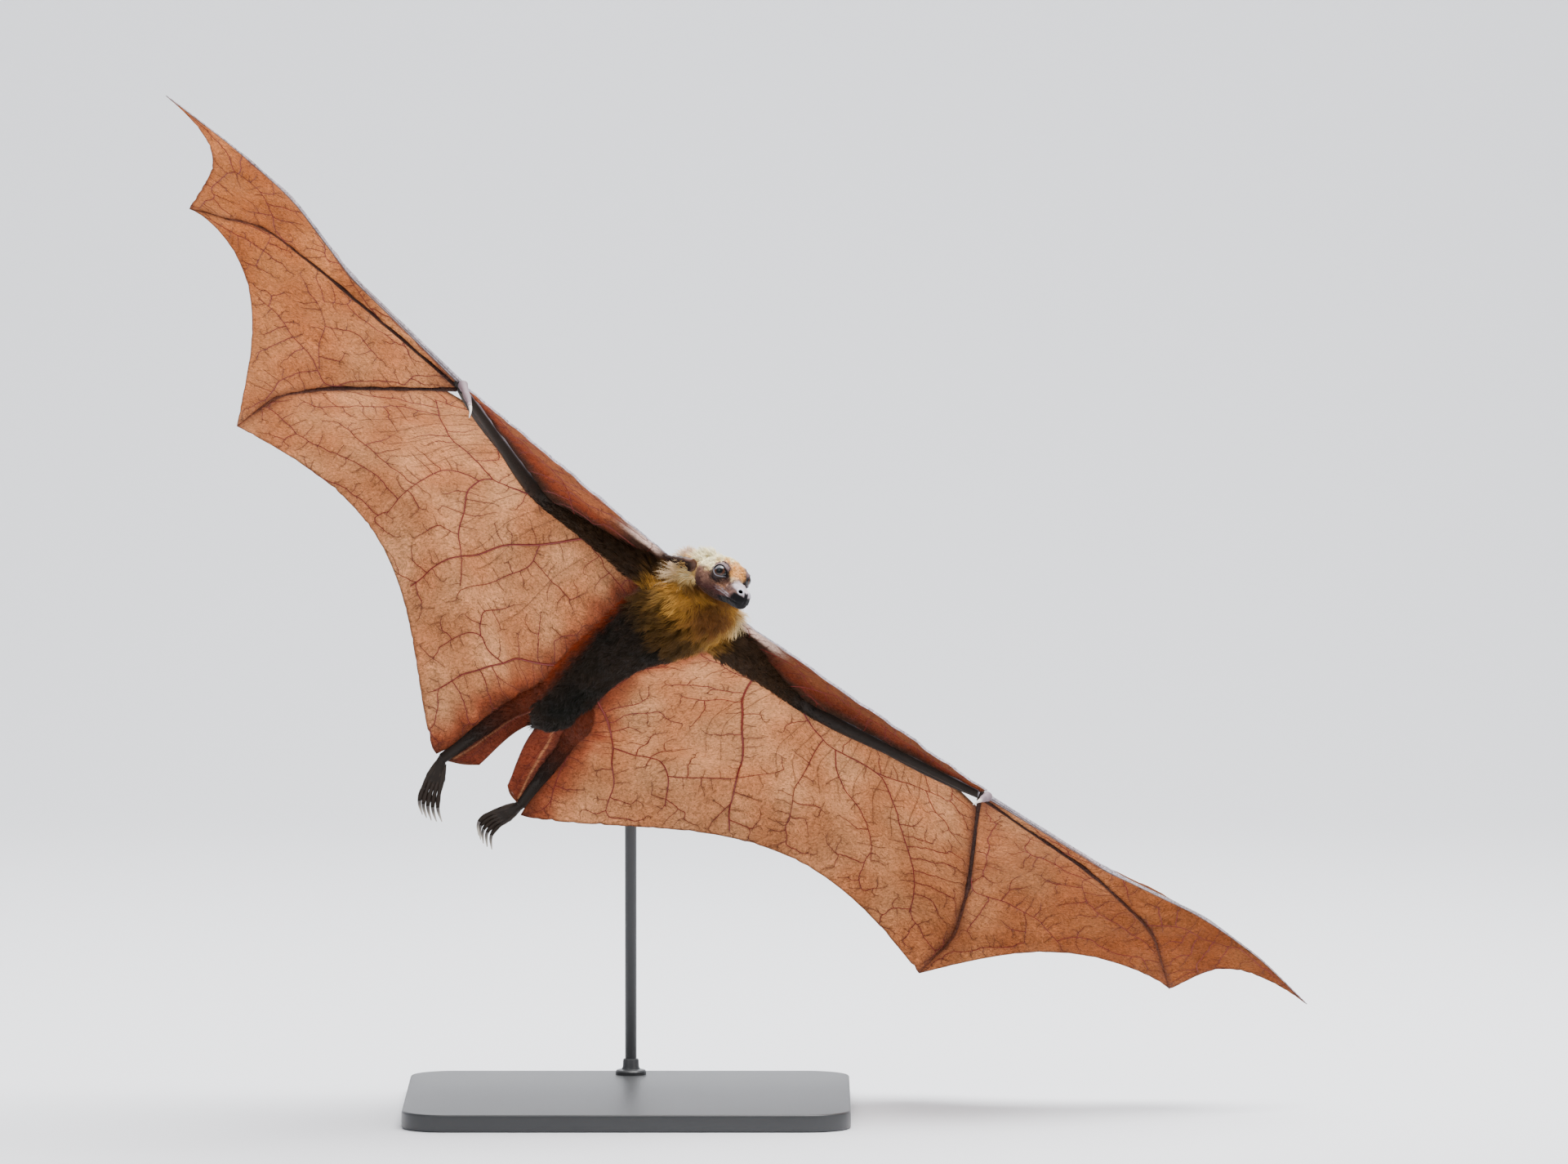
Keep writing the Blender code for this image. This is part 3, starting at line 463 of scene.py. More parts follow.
class Parts:
    """Grids and tufts gathered for one mesh, with a bake map and a marking colour for each point."""

    def __init__(self):
        """Starts with nothing gathered."""
        self.points, self.corners, self.sizes, self.maps, self.paints = [], [], [], [], []
        self.count = 0

    def add(self, points, faces, uv, paint):
        """Points (n, 3), faces (m, 3 or 4) of their numbers, uv (m, 3 or 4, 2) and paint (n, 3)."""
        self.points.append(points)
        self.corners.append((faces + self.count).ravel())
        self.sizes.append(np.full(len(faces), faces.shape[1]))
        self.maps.append(uv.reshape(-1, 2))
        self.paints.append(np.broadcast_to(paint, points.shape))
        self.count += len(points)

    def add_tube(self, grid, cell, paint):
        """A closed body of rings; the first and last are closed by strips from side to side."""
        rows, count = grid.shape[:2]
        r, c = (a.ravel() for a in np.meshgrid(np.arange(rows - 1), np.arange(count), indexing="ij"))
        places = np.stack([np.stack([r + i, c + j], -1) for i, j in ((0, 0), (0, 1), (1, 1), (1, 0))], 1)
        reach = np.concatenate([[0], np.linalg.norm(np.diff(grid.mean(1), axis=0), axis=-1).cumsum()])
        share = reach / reach[-1] if reach[-1] > 0 else np.linspace(0, 1, rows)
        u0, v0, u1, v1 = cell
        uv = np.stack([u0 + share[places[..., 0]] * (u1 - u0), v0 + places[..., 1] / count * (v1 - v0)], -1)
        faces = places[..., 0] * count + places[..., 1] % count
        k = np.arange(count // 2 - 1)
        fold = np.stack([k, k + 1, count - 2 - k, count - 1 - k], -1)
        ends = np.concatenate([fold[:, ::-1], fold + (rows - 1) * count])
        end_uv = np.stack([np.where(ends < count, u0, u1), v0 + (ends % count) / count * (v1 - v0)], -1)
        points = grid.reshape(-1, 3)
        faces, uv = np.concatenate([faces, ends]), np.concatenate([uv, end_uv])
        a, b, c = (points[faces[:, i]] for i in (0, 1, 2))
        if (np.cross(b - a, c - a) * (a - points.mean(0))).sum() < 0:
            faces, uv = faces[:, ::-1], uv[:, ::-1]
        self.add(points, faces, uv, np.broadcast_to(paint, grid.shape).reshape(-1, 3))

    def add_sheet(self, grid, thickness, cell, paint, wave=0.0):
        """A closed sheet: the grid moved half its thickness to both sides, as rings there and back."""
        normal = normals_of(grid, wrap=False)
        half = np.broadcast_to(np.asarray(thickness), grid.shape[:2])[..., None] / 2
        middle = grid + normal * np.asarray(wave)[..., None] if np.ndim(wave) else grid
        rings = np.concatenate([middle + normal * half, (middle - normal * half)[:, ::-1]], 1)
        paint = np.broadcast_to(paint, grid.shape)
        self.add_tube(rings, cell, np.concatenate([paint, paint[:, ::-1]], 1))

    def add_all(self, other, place, size):
        """Everything gathered in another, its bake map moved into a part of this one's."""
        self.points += other.points
        self.corners += [corners + self.count for corners in other.corners]
        self.sizes += other.sizes
        self.maps += [uv * size + place for uv in other.maps]
        self.paints += other.paints
        self.count += other.count

    def piece(self, name, finish):
        """The gathered parts as one object at the origin, in world metres."""
        points, corners = in_world(np.concatenate(self.points)), np.concatenate(self.corners)
        sizes = np.concatenate(self.sizes)
        mesh = bpy.data.meshes.new(name)
        mesh.vertices.add(len(points))
        mesh.vertices.foreach_set("co", points.astype(np.float32).ravel())
        mesh.loops.add(len(corners))
        mesh.loops.foreach_set("vertex_index", corners.astype(np.int32))
        mesh.polygons.add(len(sizes))
        mesh.polygons.foreach_set("loop_start", (np.cumsum(sizes) - sizes).astype(np.int32))
        mesh.update(calc_edges=True)
        layer = mesh.uv_layers.new(name="OFBake")
        layer.uv.foreach_set("vector", np.concatenate(self.maps).astype(np.float32).ravel())
        paint = np.concatenate(self.paints)
        colours = mesh.attributes.new("marking", "FLOAT_COLOR", "POINT")
        rgba = np.concatenate([paint, np.ones((len(paint), 1))], 1).astype(np.float32)
        colours.data.foreach_set("color", rgba.ravel())
        mesh.shade_smooth()
        mesh.materials.append(finish)
        made = bpy.data.objects.new(name, mesh)
        bpy.context.scene.collection.objects.link(made)
        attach(made, "root")
        return made


def cells(count, low=0.0, high=1.0):
    """Strips of the bake map, one above the other, with a little room between them."""
    edges = np.linspace(low, high, count + 1)
    return [(0.002, a + 0.002, 0.998, b - 0.002) for a, b in zip(edges, edges[1:])]


# ---- the bat's surfaces ----------------------------------------------------------------------


def trunk_at(x, column):
    """One column of the trunk's table at any x."""
    table = np.array(TRUNK, float)[::-1]
    return np.interp(x, table[:, 0], table[:, column])


def body_rings():
    """Centre, two directions, half width, half height, squareness and coat of each ring, nose to rump."""
    rows = [(from_head((40.3, 0, -4.6)), HEAD_TURN[:, 1], HEAD_TURN[:, 2], 0.5, 0.6, 2.0, 0.0)]
    for x, z, wide, high, square, coat in HEAD[::-1]:
        rows.append((from_head((x, 0, z)), HEAD_TURN[:, 1], HEAD_TURN[:, 2], wide, high, square, coat))
    start, end = np.array(TRUNK[0][:3], float), rows[-1][0]
    reach = np.linalg.norm(end - start)
    for t in (0.8, 0.6, 0.4, 0.2):
        turn = t * t * (3 - 2 * t)
        centre = (
            (2 * t**3 - 3 * t**2 + 1) * start
            + (t**3 - 2 * t**2 + t) * reach * np.array([1.0, 0, 0.1])
            + (3 * t**2 - 2 * t**3) * end
            + (t**3 - t**2) * reach * HEAD_TURN[:, 0]
        )
        sideways = unit((1 - turn) * ACROSS + turn * HEAD_TURN[:, 1])
        up = (1 - turn) * DORSAL + turn * HEAD_TURN[:, 2]
        wide = (1 - t) * TRUNK[0][3] + t * HEAD[0][2]
        high = (1 - t) * TRUNK[0][4] + t * HEAD[0][3]
        rows.append((centre, sideways, unit(up - sideways * (up @ sideways)), wide, high, 2.0, 6.5 - 2.5 * t))
    for x, y, z, wide, high, coat in TRUNK:
        rows.append((np.array([x, y, z], float), ACROSS, DORSAL, wide, high, 2.0, coat))
    rows.append((np.array([-157.0, -5, -2]), ACROSS, DORSAL, 0.6, 0.6, 2.0, 0.0))
    return rows


def body_grid(columns=144):
    """The skin from nose to rump as one tube, finer on the head, with the coat's depth at each ring."""
    rows = body_rings()
    table = np.array([np.concatenate([r[0], r[1], r[2], r[3:]]) for r in rows])
    knots = lengths(table[:, :3])
    neck, chest = knots[len(HEAD)], knots[len(HEAD) + 4]
    steps = [np.linspace(0, neck, 150)]
    steps += [np.linspace(neck, chest, 40)[1:], np.linspace(chest, knots[-1], 110)[1:]]
    found = spline(knots, table, np.concatenate(steps))
    centre, across, up = found[:, :3], unit(found[:, 3:6]), unit(found[:, 6:9])
    wide, high, square, coat = found[:, 9:].T
    wide, high = np.maximum(wide - coat, 0.3), np.maximum(high - coat, 0.3)
    grid = ringed(centre, across, up, wide, high, np.clip(square, 2, 2.4), columns)
    grid = grid + normals_of(grid) * 5.0 * nape_share(grid)[..., None]
    share = ease(-22, -12, to_head(grid)[..., 0])
    face = from_head(faced(to_head(grid), normals_of(grid) @ HEAD_TURN))
    return mix(grid, face, share), coat, len(steps[0])


def eye_frame(side):
    """The eye's place and its directions: out through the pupil, forwards, and up, in the head's axes."""
    aim = unit(mirrored(EYE_AIM, side))
    front = unit(np.array([1.0, 0, 0]) - aim * aim[0])
    up = np.cross(aim, front) * -SIDES[side]
    return mirrored(EYE_PLACE, side), aim, front, up * np.sign(up[2])


def lid_at(points, side):
    """For points in the head's axes: height over the eye's middle along its aim, forwards, and up."""
    place, *ways = eye_frame(side)
    return [(points - place) @ way for way in ways]


def lid_ring(turn):
    """The opening's edge: an ellipse, forwards and up, drawn out and flattened towards its front corner."""
    front = np.maximum(np.cos(turn), 0)
    return LID[0] * np.cos(turn) + LID[2] * front**3, LID[1] * np.sin(turn) * (1 - 0.22 * front)


def nostril_at(points, side):
    """For points in the head's axes: the nostril's way out, its ring's number, and the height along it.

    The ring's number is 1 on the edge of the opening: an ellipse of NOSTRIL half length and half width.
    """
    out = unit(mirrored((0.74, 0.62, 0.16), side))
    lead = unit(np.cross((0.3, 0, 1), out))
    away = points - mirrored(NOSTRIL_PLACE, side)
    return out, np.hypot(away @ lead / NOSTRIL[0], away @ np.cross(out, lead) / NOSTRIL[1]), away @ out


def faced(points, normal):
    """The head's skin with lids over the eyeballs, a mouth line, a groove from nose to lip, and folds.

    Each form is a hump or a step of x, y and z in the head's axes. It moves a point along its normal, and the
    nostrils and lids move it along their own axes.
    """
    x, y, z = np.moveaxis(points, -1, 0)
    sideways = np.abs(normal[..., 1])
    over_mouth = z + 7.6 - 0.05 * (34 - x) - 1.2 * ease(20, 8, x)
    lips = ease(6, 11, x) * ease(-0.5, -2.0, normal[..., 2] - 0.9)
    raised = lips * (0.35 * hump(over_mouth, 1.5, 1.0) - 0.75 * hump(over_mouth, 0, 0.55))
    raised -= 0.6 * ease(33, 37, x) * hump(y, 0, 0.7) * ease(-9, -6, z)
    raised += 0.8 * hump(x, -2, 9) * hump(z, -6, 5) * sideways
    raised -= 2.0 * hump(x, 20.5, 4.5) * hump(z, 2.5, 4.5) * sideways**0.5
    raised += 0.22 * noise(points * (1.6, 1, 1), 4.5, 31) * ease(13, 18, x) * ease(34, 30, x)
    for low, lean in ((-4.4, 0.10), (-2.6, 0.22)):
        raised -= 0.45 * hump(z + lean * (x - 22), low, 0.4) * ease(7, 13, x) * ease(30, 25, x)
    raised += 2.3 * hump(x, 6, 9) * ease(4, 11, z)
    raised -= 4.8 * ease(-4, -16, x) * ease(2, 10, z)
    points = points + normal * raised[..., None]
    for side in SIDES:
        out, ring, height = nostril_at(points, side)
        collar = 0.75 * hump(ring, 1.2, 0.42) - 2.2 * ease(1.0, 0.55, ring)
        points = points + out * (collar * ease(-3.5, -2.5, height))[..., None]
    for side in SIDES:
        high, ahead, above = lid_at(points, side)
        far = np.hypot(ahead, above)
        over_ball = np.sqrt((EYE_RADIUS + 0.45) ** 2 - np.minimum(far, 5.5) ** 2) - high
        under_ball = np.sqrt((EYE_RADIUS - 0.9) ** 2 - np.minimum(far, 4.6) ** 2) - high
        turn = np.arctan2(above / LID[1], ahead / LID[0])
        opening = ease(1.05, 0.97, far / np.hypot(*lid_ring(turn))) * (high > -6)
        lift = over_ball * (ease(9.5, 5.4, far) * (high > -6)) ** 1.5 * (1 - opening) + under_ball * opening
        folds = ease(5.6, 6.2, far) * ease(10.5, 8.0, far) * ease(1.5, -1.5, above) * (high > -3)
        lift += 0.22 * np.sin(3.6 * (far - 6.0)) * folds
        points = points + eye_frame(side)[1] * lift[..., None]
    return points


def arm(side):
    """The arm's path from inside the chest to the hand, the shares of its rings, and their radii."""
    shoulder, elbow, wrist = (joint(side, name) for name in ("shoulder", "elbow", "wrist"))
    root = np.array([-6, trunk_at(-6, 1) + SIDES[side] * 14, -5])
    end = wrist - unit(wrist - elbow) * 4
    path = rounded([root, shoulder, elbow, end], 16, 7)
    return path, stations(path, (shoulder, elbow), ARM_MARKS), ARM


def leg(side):
    """The leg's path from inside the rump to the ankle, the shares of its rings, and their radii."""
    hip, knee, ankle = (joint(side, name) for name in ("hip", "knee", "ankle"))
    root = np.array([-114, trunk_at(-114, 1) + SIDES[side] * 6, -4])
    path = rounded([root, hip, knee, ankle], 18, 7)
    return path, stations(path, (hip, knee), LEG_MARKS), LEG


def knuckles(side, finger):
    """The three joints of a finger beyond the hand, the last its tip."""
    return np.array(JOINTS[side][finger], float) * (1, SIDES[side], 1)


def hand_axes(side):
    """The directions of the hand: out towards the wing tip, fore to the leading edge, and its back."""
    wrist = joint(side, "wrist")
    out = unit(knuckles(side, "finger_3")[0] + knuckles(side, "finger_4")[0] - 2 * wrist)
    aft = knuckles(side, "finger_5")[0] - wrist
    fore = -unit(aft - out * (aft @ out))
    return out, fore, np.cross(fore, out) * SIDES[side]


def finger(side, name):
    """A finger's path, the shares of its rings, and their radii. The second lies just ahead of the third."""
    out, fore, back = hand_axes(side)
    ahead, beyond = FINGER_BASES[name]
    base = joint(side, "wrist") + fore * ahead + out * beyond
    if name == "finger_2":
        base = base - back * 1.8
        tip = knuckles(side, "finger_3")[0] + fore * 3.4 - back * 2.4 - out * 4
        path = rounded([base, (base + tip) / 2, tip], 8)
        return path, np.linspace(0, 1, len(FINGERS[name])), FINGERS[name]
    first, second, tip = knuckles(side, name)
    bow = (second + tip) / 2 + fore * FINGER_BOW[side] * (name == "finger_3")
    path = rounded([base, first, second, bow, tip], 14, 6)
    return path, stations(path, (first, second), FINGER_MARKS), FINGERS[name]


def thumb(side):
    """The thumb's path to the tip of its claw, which curls back, its shares and radii."""
    _, fore, back = hand_axes(side)
    start = joint(side, "wrist") + fore * 5 - back * 3
    tip = joint(side, "thumb")
    knuckle = start + (tip - start) * 0.55 + fore * 3
    claw = start + (tip - start) * 0.84 + fore * 3.5
    return rounded([start, knuckle, claw, tip], 7), np.linspace(0, 1, len(THUMB)), THUMB


def hand_grid(side):
    """The wrist's block, flattened in the wing's plane, from which the fingers and the thumb grow."""
    out, _, back = hand_axes(side)
    path = arm(side)[0]
    start, way = path[-2], directions(path, [1.0])[0]
    share = np.linspace(0, 1, 14)
    knots = (0, 0.35, 0.7, 1)
    wide = spline(knots, (3.6, 5.3, 6.5, 3.4), share)
    thick = spline(knots, (3.5, 4.2, 3.9, 1.6), share)
    centre = start + share[:, None] * (joint(side, "wrist") + out * 5.0 - start)
    ahead = unit((1 - share)[:, None] * way + share[:, None] * out)
    across = unit(np.cross(back, ahead))
    return ringed(centre, across, np.cross(ahead, across), wide, thick, np.full(14, 2.3), 32)


def foot_parts(side):
    """The sole as a grid, and the path of each toe to the tip of its claw."""
    ankle = joint(side, "ankle")
    way = directions(leg(side)[0], [1.0])[0]
    aim = unit(joint(side, "toes") - ankle)
    across = unit(np.cross((0, 0, 1), aim))
    back = np.cross(aim, across)
    reach = np.linspace(-1.5, 19, 18)
    knots = (-1.5, 0, 4, 10, 16, 19)
    wide = spline(knots, (3.2, 3.3, 3.8, 5.6, 6.6, 5.0), reach)
    thick = spline(knots, (3.2, 3.2, 3.0, 2.1, 1.5, 0.9), reach)
    share = np.clip(reach / 6, 0, 1)[:, None]
    ahead = unit((1 - share) * way + share * aim)
    side_way = unit(across - ahead * (ahead @ across)[:, None])
    middle, upward = ankle + aim * reach[:, None], np.cross(ahead, side_way)
    sole = ringed(middle, side_way, upward, wide, thick, np.full(18, 2.2), 28)
    toes = []
    hook = unit(np.array([0, 0.6, 0]) - back * 0.8)
    for spread in np.linspace(-1, 1, 5):
        start = ankle + aim * 4 + across * spread * 2.0
        ball = ankle + aim * 13 + across * spread * 4.6
        lead = unit(aim + across * spread * 0.1)
        knuckle = ball + lead * (15 - 1.5 * spread**2) + back * 1.5
        claw = knuckle + lead * 8.0 + hook * 2.5
        tip = claw + lead * 2.5 + hook * 9.5
        toes.append(rounded([start, ball, knuckle, claw, tip], 6, 8))
    return sole, toes


def ear_grid(side):
    """A laid-back ear: a leaf of this length and width, cupped round its long axis."""
    outward_way = SIDES[side]
    aim = unit(mirrored(EAR_AIM, side))
    flat = unit(np.cross(aim, (0, outward_way, 0.25)))
    out = unit(np.cross(flat, aim))
    out = out * np.sign(out[1] * outward_way)
    flat = flat * np.sign(flat[2])
    turned = flat * math.cos(EAR_ROLL) + out * math.sin(EAR_ROLL)
    out = out * math.cos(EAR_ROLL) - flat * math.sin(EAR_ROLL)
    length = np.linspace(-0.12, 1, 44)[:, None, None]
    spread = np.radians(np.linspace(-78, 78, 30))[None, :, None]
    knots, widths = zip(*EAR_OUTLINE)
    half = EAR_WIDTH / 2 * spline(knots, widths, length.ravel())[:, None, None]
    middle = mirrored(EAR_BASE, side) + aim * EAR_LENGTH * length
    return from_head(middle + turned * half * np.sin(spread) + out * half * (0.9 - np.cos(spread)))


def ear_distance(points, side):
    """How far points in the head's axes lie from the two fifths of the ear's axis next to its root."""
    aim = unit(mirrored(EAR_AIM, side)) * EAR_LENGTH * 0.4
    away = points - mirrored(EAR_BASE, side)
    share = np.clip(away @ aim / (aim @ aim), 0, 1)
    return np.linalg.norm(away - share[..., None] * aim, axis=-1)


# ---- the wings' sheets -----------------------------------------------------------------------


def beside(path, shares, radii, other):
    """The line along a limb that faces another: half a radius deep, so that a sheet has no open edge."""
    points, tangents = along(path, shares), directions(path, shares)
    toward = other - points
    toward = unit(toward - tangents * (toward * tangents).sum(-1, keepdims=True))
    return points + toward * 0.5 * np.asarray(radii)[:, None]


def bend(line):
    """How far each point of a line lies from the straight one between its ends."""
    t = np.linspace(0, 1, len(line))[:, None]
    return line - (1 - t) * line[0] - t * line[-1]


def patch(top, bottom, near, far, power=1):
    """A grid of straight rows between near and far, bent as top and bottom are, each at its own edge."""
    u = np.linspace(0, 1, len(top))[None, :, None]
    v = np.linspace(0, 1, len(near))[:, None, None]
    straight = (1 - u) * near[:, None] + u * far[:, None]
    return straight + (1 - v) ** power * bend(top) + v**power * bend(bottom)


def swollen(grid, rise):
    """A grid whose middle the air lifts towards the bat's back, and whose edges stay."""
    v, u = shares_of(grid)
    return grid + (np.sin(math.pi * v) * np.sin(math.pi * u))[..., None] * np.array([0, 0, rise])


def scallop(start, end, inward, depth, skew, count):
    """The free edge between two tips, drawn inwards by depth * sin(pi * t^skew)."""
    t = np.linspace(0, 1, count)[:, None]
    return (1 - t) * start + t * end + np.sin(math.pi * t**skew) * depth * unit(inward)


def between(first, last, rows):
    """A grid of rows from one line to another, point by point."""
    return first + np.linspace(0, 1, rows)[:, None, None] * (last - first)


def fore_sheet(side, rows=30, columns=90):
    """The skin ahead of the arm; its rows run from the arm to the leading edge."""
    path, shares, radii = arm(side)
    out, fore, _ = hand_axes(side)
    root = mirrored(LEADING_ROOT[side], side)
    end = joint(side, "wrist") + fore * LEADING_END[side] - out * 2
    shares, radii = shares[1:], radii[1:]
    lead = root + ((shares - shares[0]) / (shares[-1] - shares[0]))[:, None] * (end - root)
    front = even(beside(path, shares, radii, lead), columns)
    return swollen(between(front, even(lead, columns), rows), 4)


def side_line(side):
    """Where the large membrane meets the flank and then the leg, from armpit to heel."""
    flank = [(x, trunk_at(x, 1) + SIDES[side] * (trunk_at(x, 3) - 6.5), trunk_at(x, 2) + 1) for x in FLANK]
    path, shares, radii = leg(side)
    outer = along(path, shares[2:]) + np.array([8, SIDES[side] * 20, 0])
    line = np.concatenate([flank, beside(path, shares[2:], radii[2:], outer)])
    line[-1] = joint(side, "heel")
    return line


def arm_sheet(side, rows=96, columns=104):
    """The large membrane: rows from the arm to the free edge, columns from the flank to the fifth finger."""
    near = even(side_line(side), rows)
    path, shares, radii = finger(side, "finger_5")
    far = even(beside(path, shares[1:], radii[1:], side_line(side)[: len(shares) - 1]), rows)
    depth, skew = TRAIL[side]
    path, shares, radii = arm(side)
    inward = joint(side, "elbow") - (near[-1] + far[-1]) / 2
    edge = scallop(near[-1], far[-1], inward, depth, skew, columns)
    facing = scallop(near[-1], far[-1], inward, depth, skew, len(shares) - 2)
    rear = beside(path, shares[2:], radii[2:], facing)
    rear[0], rear[-1] = near[0], far[0]
    return swollen(patch(even(rear, columns), even(edge, columns), near, far), 7)


def hand_sheet(side, first, second, depth, skew, rows=80, columns=44):
    """The skin between two fingers; its rows run out to the free edge."""
    sides = []
    for one, two in ((first, second), (second, first)):
        path, shares, radii = finger(side, one)
        other, other_shares, _ = finger(side, two)
        sides.append(even(beside(path, shares, radii, along(other, other_shares)), rows))
    one, two = sides
    inward = joint(side, "wrist") - (one[-1] + two[-1]) / 2
    edge = even(scallop(one[-1], two[-1], inward, depth, skew, 4 * columns), columns)
    near = one[0] + np.linspace(0, 1, columns)[:, None] * (two[0] - one[0])
    return swollen(patch(near, edge, one, two, 2), 3)


def tail_sheet(side, rows=24, columns=50):
    """The flap between leg, rump and heel spur; its rows run from the leg to its free edge."""
    path, shares, radii = leg(side)
    middle = trunk_at(-156, 1)
    rump = np.array([-163, middle, -2])
    inner = np.concatenate([beside(path, shares[2:-1], radii[2:-1], rump), [joint(side, "ankle")]])
    free = [(x, middle + SIDES[side] * out, z) for x, out, z in TAIL_EDGE]
    free = np.array([*free, joint(side, "spur")])
    return swollen(between(even(inner, columns), even(free, columns), rows), 2)


def wing_sheets(side):
    """Name and grid of each membrane of one side, rippled, and frayed along the free edge."""
    found = {
        "propatagium": fore_sheet(side),
        "plagiopatagium": arm_sheet(side),
        "uropatagium": tail_sheet(side),
    }
    found |= {name: hand_sheet(side, *rest) for name, *rest in HAND_MEMBRANES[side]}
    for name, grid in found.items():
        v, _ = shares_of(grid)
        ripple = (0.5 * noise(grid, 26, 3) + 0.3 * noise(grid, 11, 4)) * ease(0, 0.1, v)
        if name != "propatagium":
            ripple *= ease(1, 0.9, v)
        if name not in ("propatagium", "uropatagium"):
            frayed = np.maximum(0.5 * noise(grid[-1], 9, 12) + 0.3 * noise(grid[-1], 3.5, 13) - 0.1, 0)
            grid = grid + (grid[-2] - grid[-1]) * (ease(0.96, 1.0, v) * frayed)[..., None] * 0.7
        found[name] = grid + normals_of(grid, wrap=False) * ripple[..., None]
    return found


# ---- colours of the coat and skin ------------------------------------------------------------


def tint(red, green, blue):
    """A colour given as 0 to 255 on a screen, as light: ((c / 255 + 0.055) / 1.055)^2.4."""
    return ((np.array([red, green, blue]) / 255 + 0.055) / 1.055) ** 2.4


GOLD = tint(198, 140, 56)
PALE_GOLD = tint(228, 184, 112)
CREAM = tint(255, 241, 192)
# Painted shade under the chin and on the throat.
THROAT_PAINTED_SHADE = tint(104, 64, 28)
NAPE = tint(252, 222, 168)
DARK_FUR = tint(38, 27, 17)
BLACK_FUR = tint(15, 12, 1.1)
# Red-brown fur of the thighs; at the flanks it also stands for a painted glow of light through the fur's
# edges.
RED_FUR_AND_GLOW = tint(168, 66, 26)
BLUSH = tint(222, 188, 172)
ORANGE = tint(214, 138, 60)
CHEEK = tint(130, 94, 78)
# Painted shade: the lower cheek, darker than its lit upper part.
LOWER_CHEEK_SHADE = tint(92, 58, 54)
UNDER_EYE = tint(188, 134, 100)
IRIS = tint(74, 40, 24)
# A painted reflection of the sky, laid over the upper part of each eye.
PAINTED_SKY_REFLECTION = tint(160, 164, 172)
LILAC = tint(34, 24, 27)
LILAC_LIGHT = tint(92, 77, 84)
NOSTRIL_RIM = tint(176, 172, 180)
JAW = tint(66, 44, 36)
MUZZLE = tint(178, 166, 172)
MUZZLE_SIDE = tint(90, 72, 70)
LIP = tint(13, 12, 14)
OLIVE = tint(54, 36, 18)
DARK_SKIN = tint(36, 29, 24)
# Pale skin of the leading edge, with a painted highlight where it faces forwards into the light.
PALE_EDGE_AND_HIGHLIGHT = tint(226, 219, 228)
THUMB_SKIN = tint(122, 104, 110)
THUMB_END = tint(180, 160, 160)
THUMB_CLAW = tint(206, 194, 186)
CLAW = tint(96, 90, 86)
CLAW_TIP = tint(196, 188, 176)
EAR_INSIDE = tint(42, 24, 15)
RIM = tint(112, 92, 82)
WING = tint(186, 120, 78)
WING_LIGHT = tint(202, 142, 98)
WING_RED = tint(134, 58, 34)
WING_DARK = tint(84, 44, 34)
# Painted shade for the membrane next to the arm and the flank.
WING_SHADE = tint(44, 30, 22)
VESSEL = tint(122, 32, 22)
VESSEL_FINE = tint(84, 38, 26)
# What the light loses towards each wing's tip, and ahead of each arm.
OUTER_SHADE = {"left": np.array([0.46, 0.30, 0.18]), "right": np.array([0.70, 0.50, 0.32])}
FORE_SHADE = {"left": 0.42, "right": 0.72}
FINGER_DARK = tint(62, 40, 34)
FINGER_RED = tint(108, 60, 42)


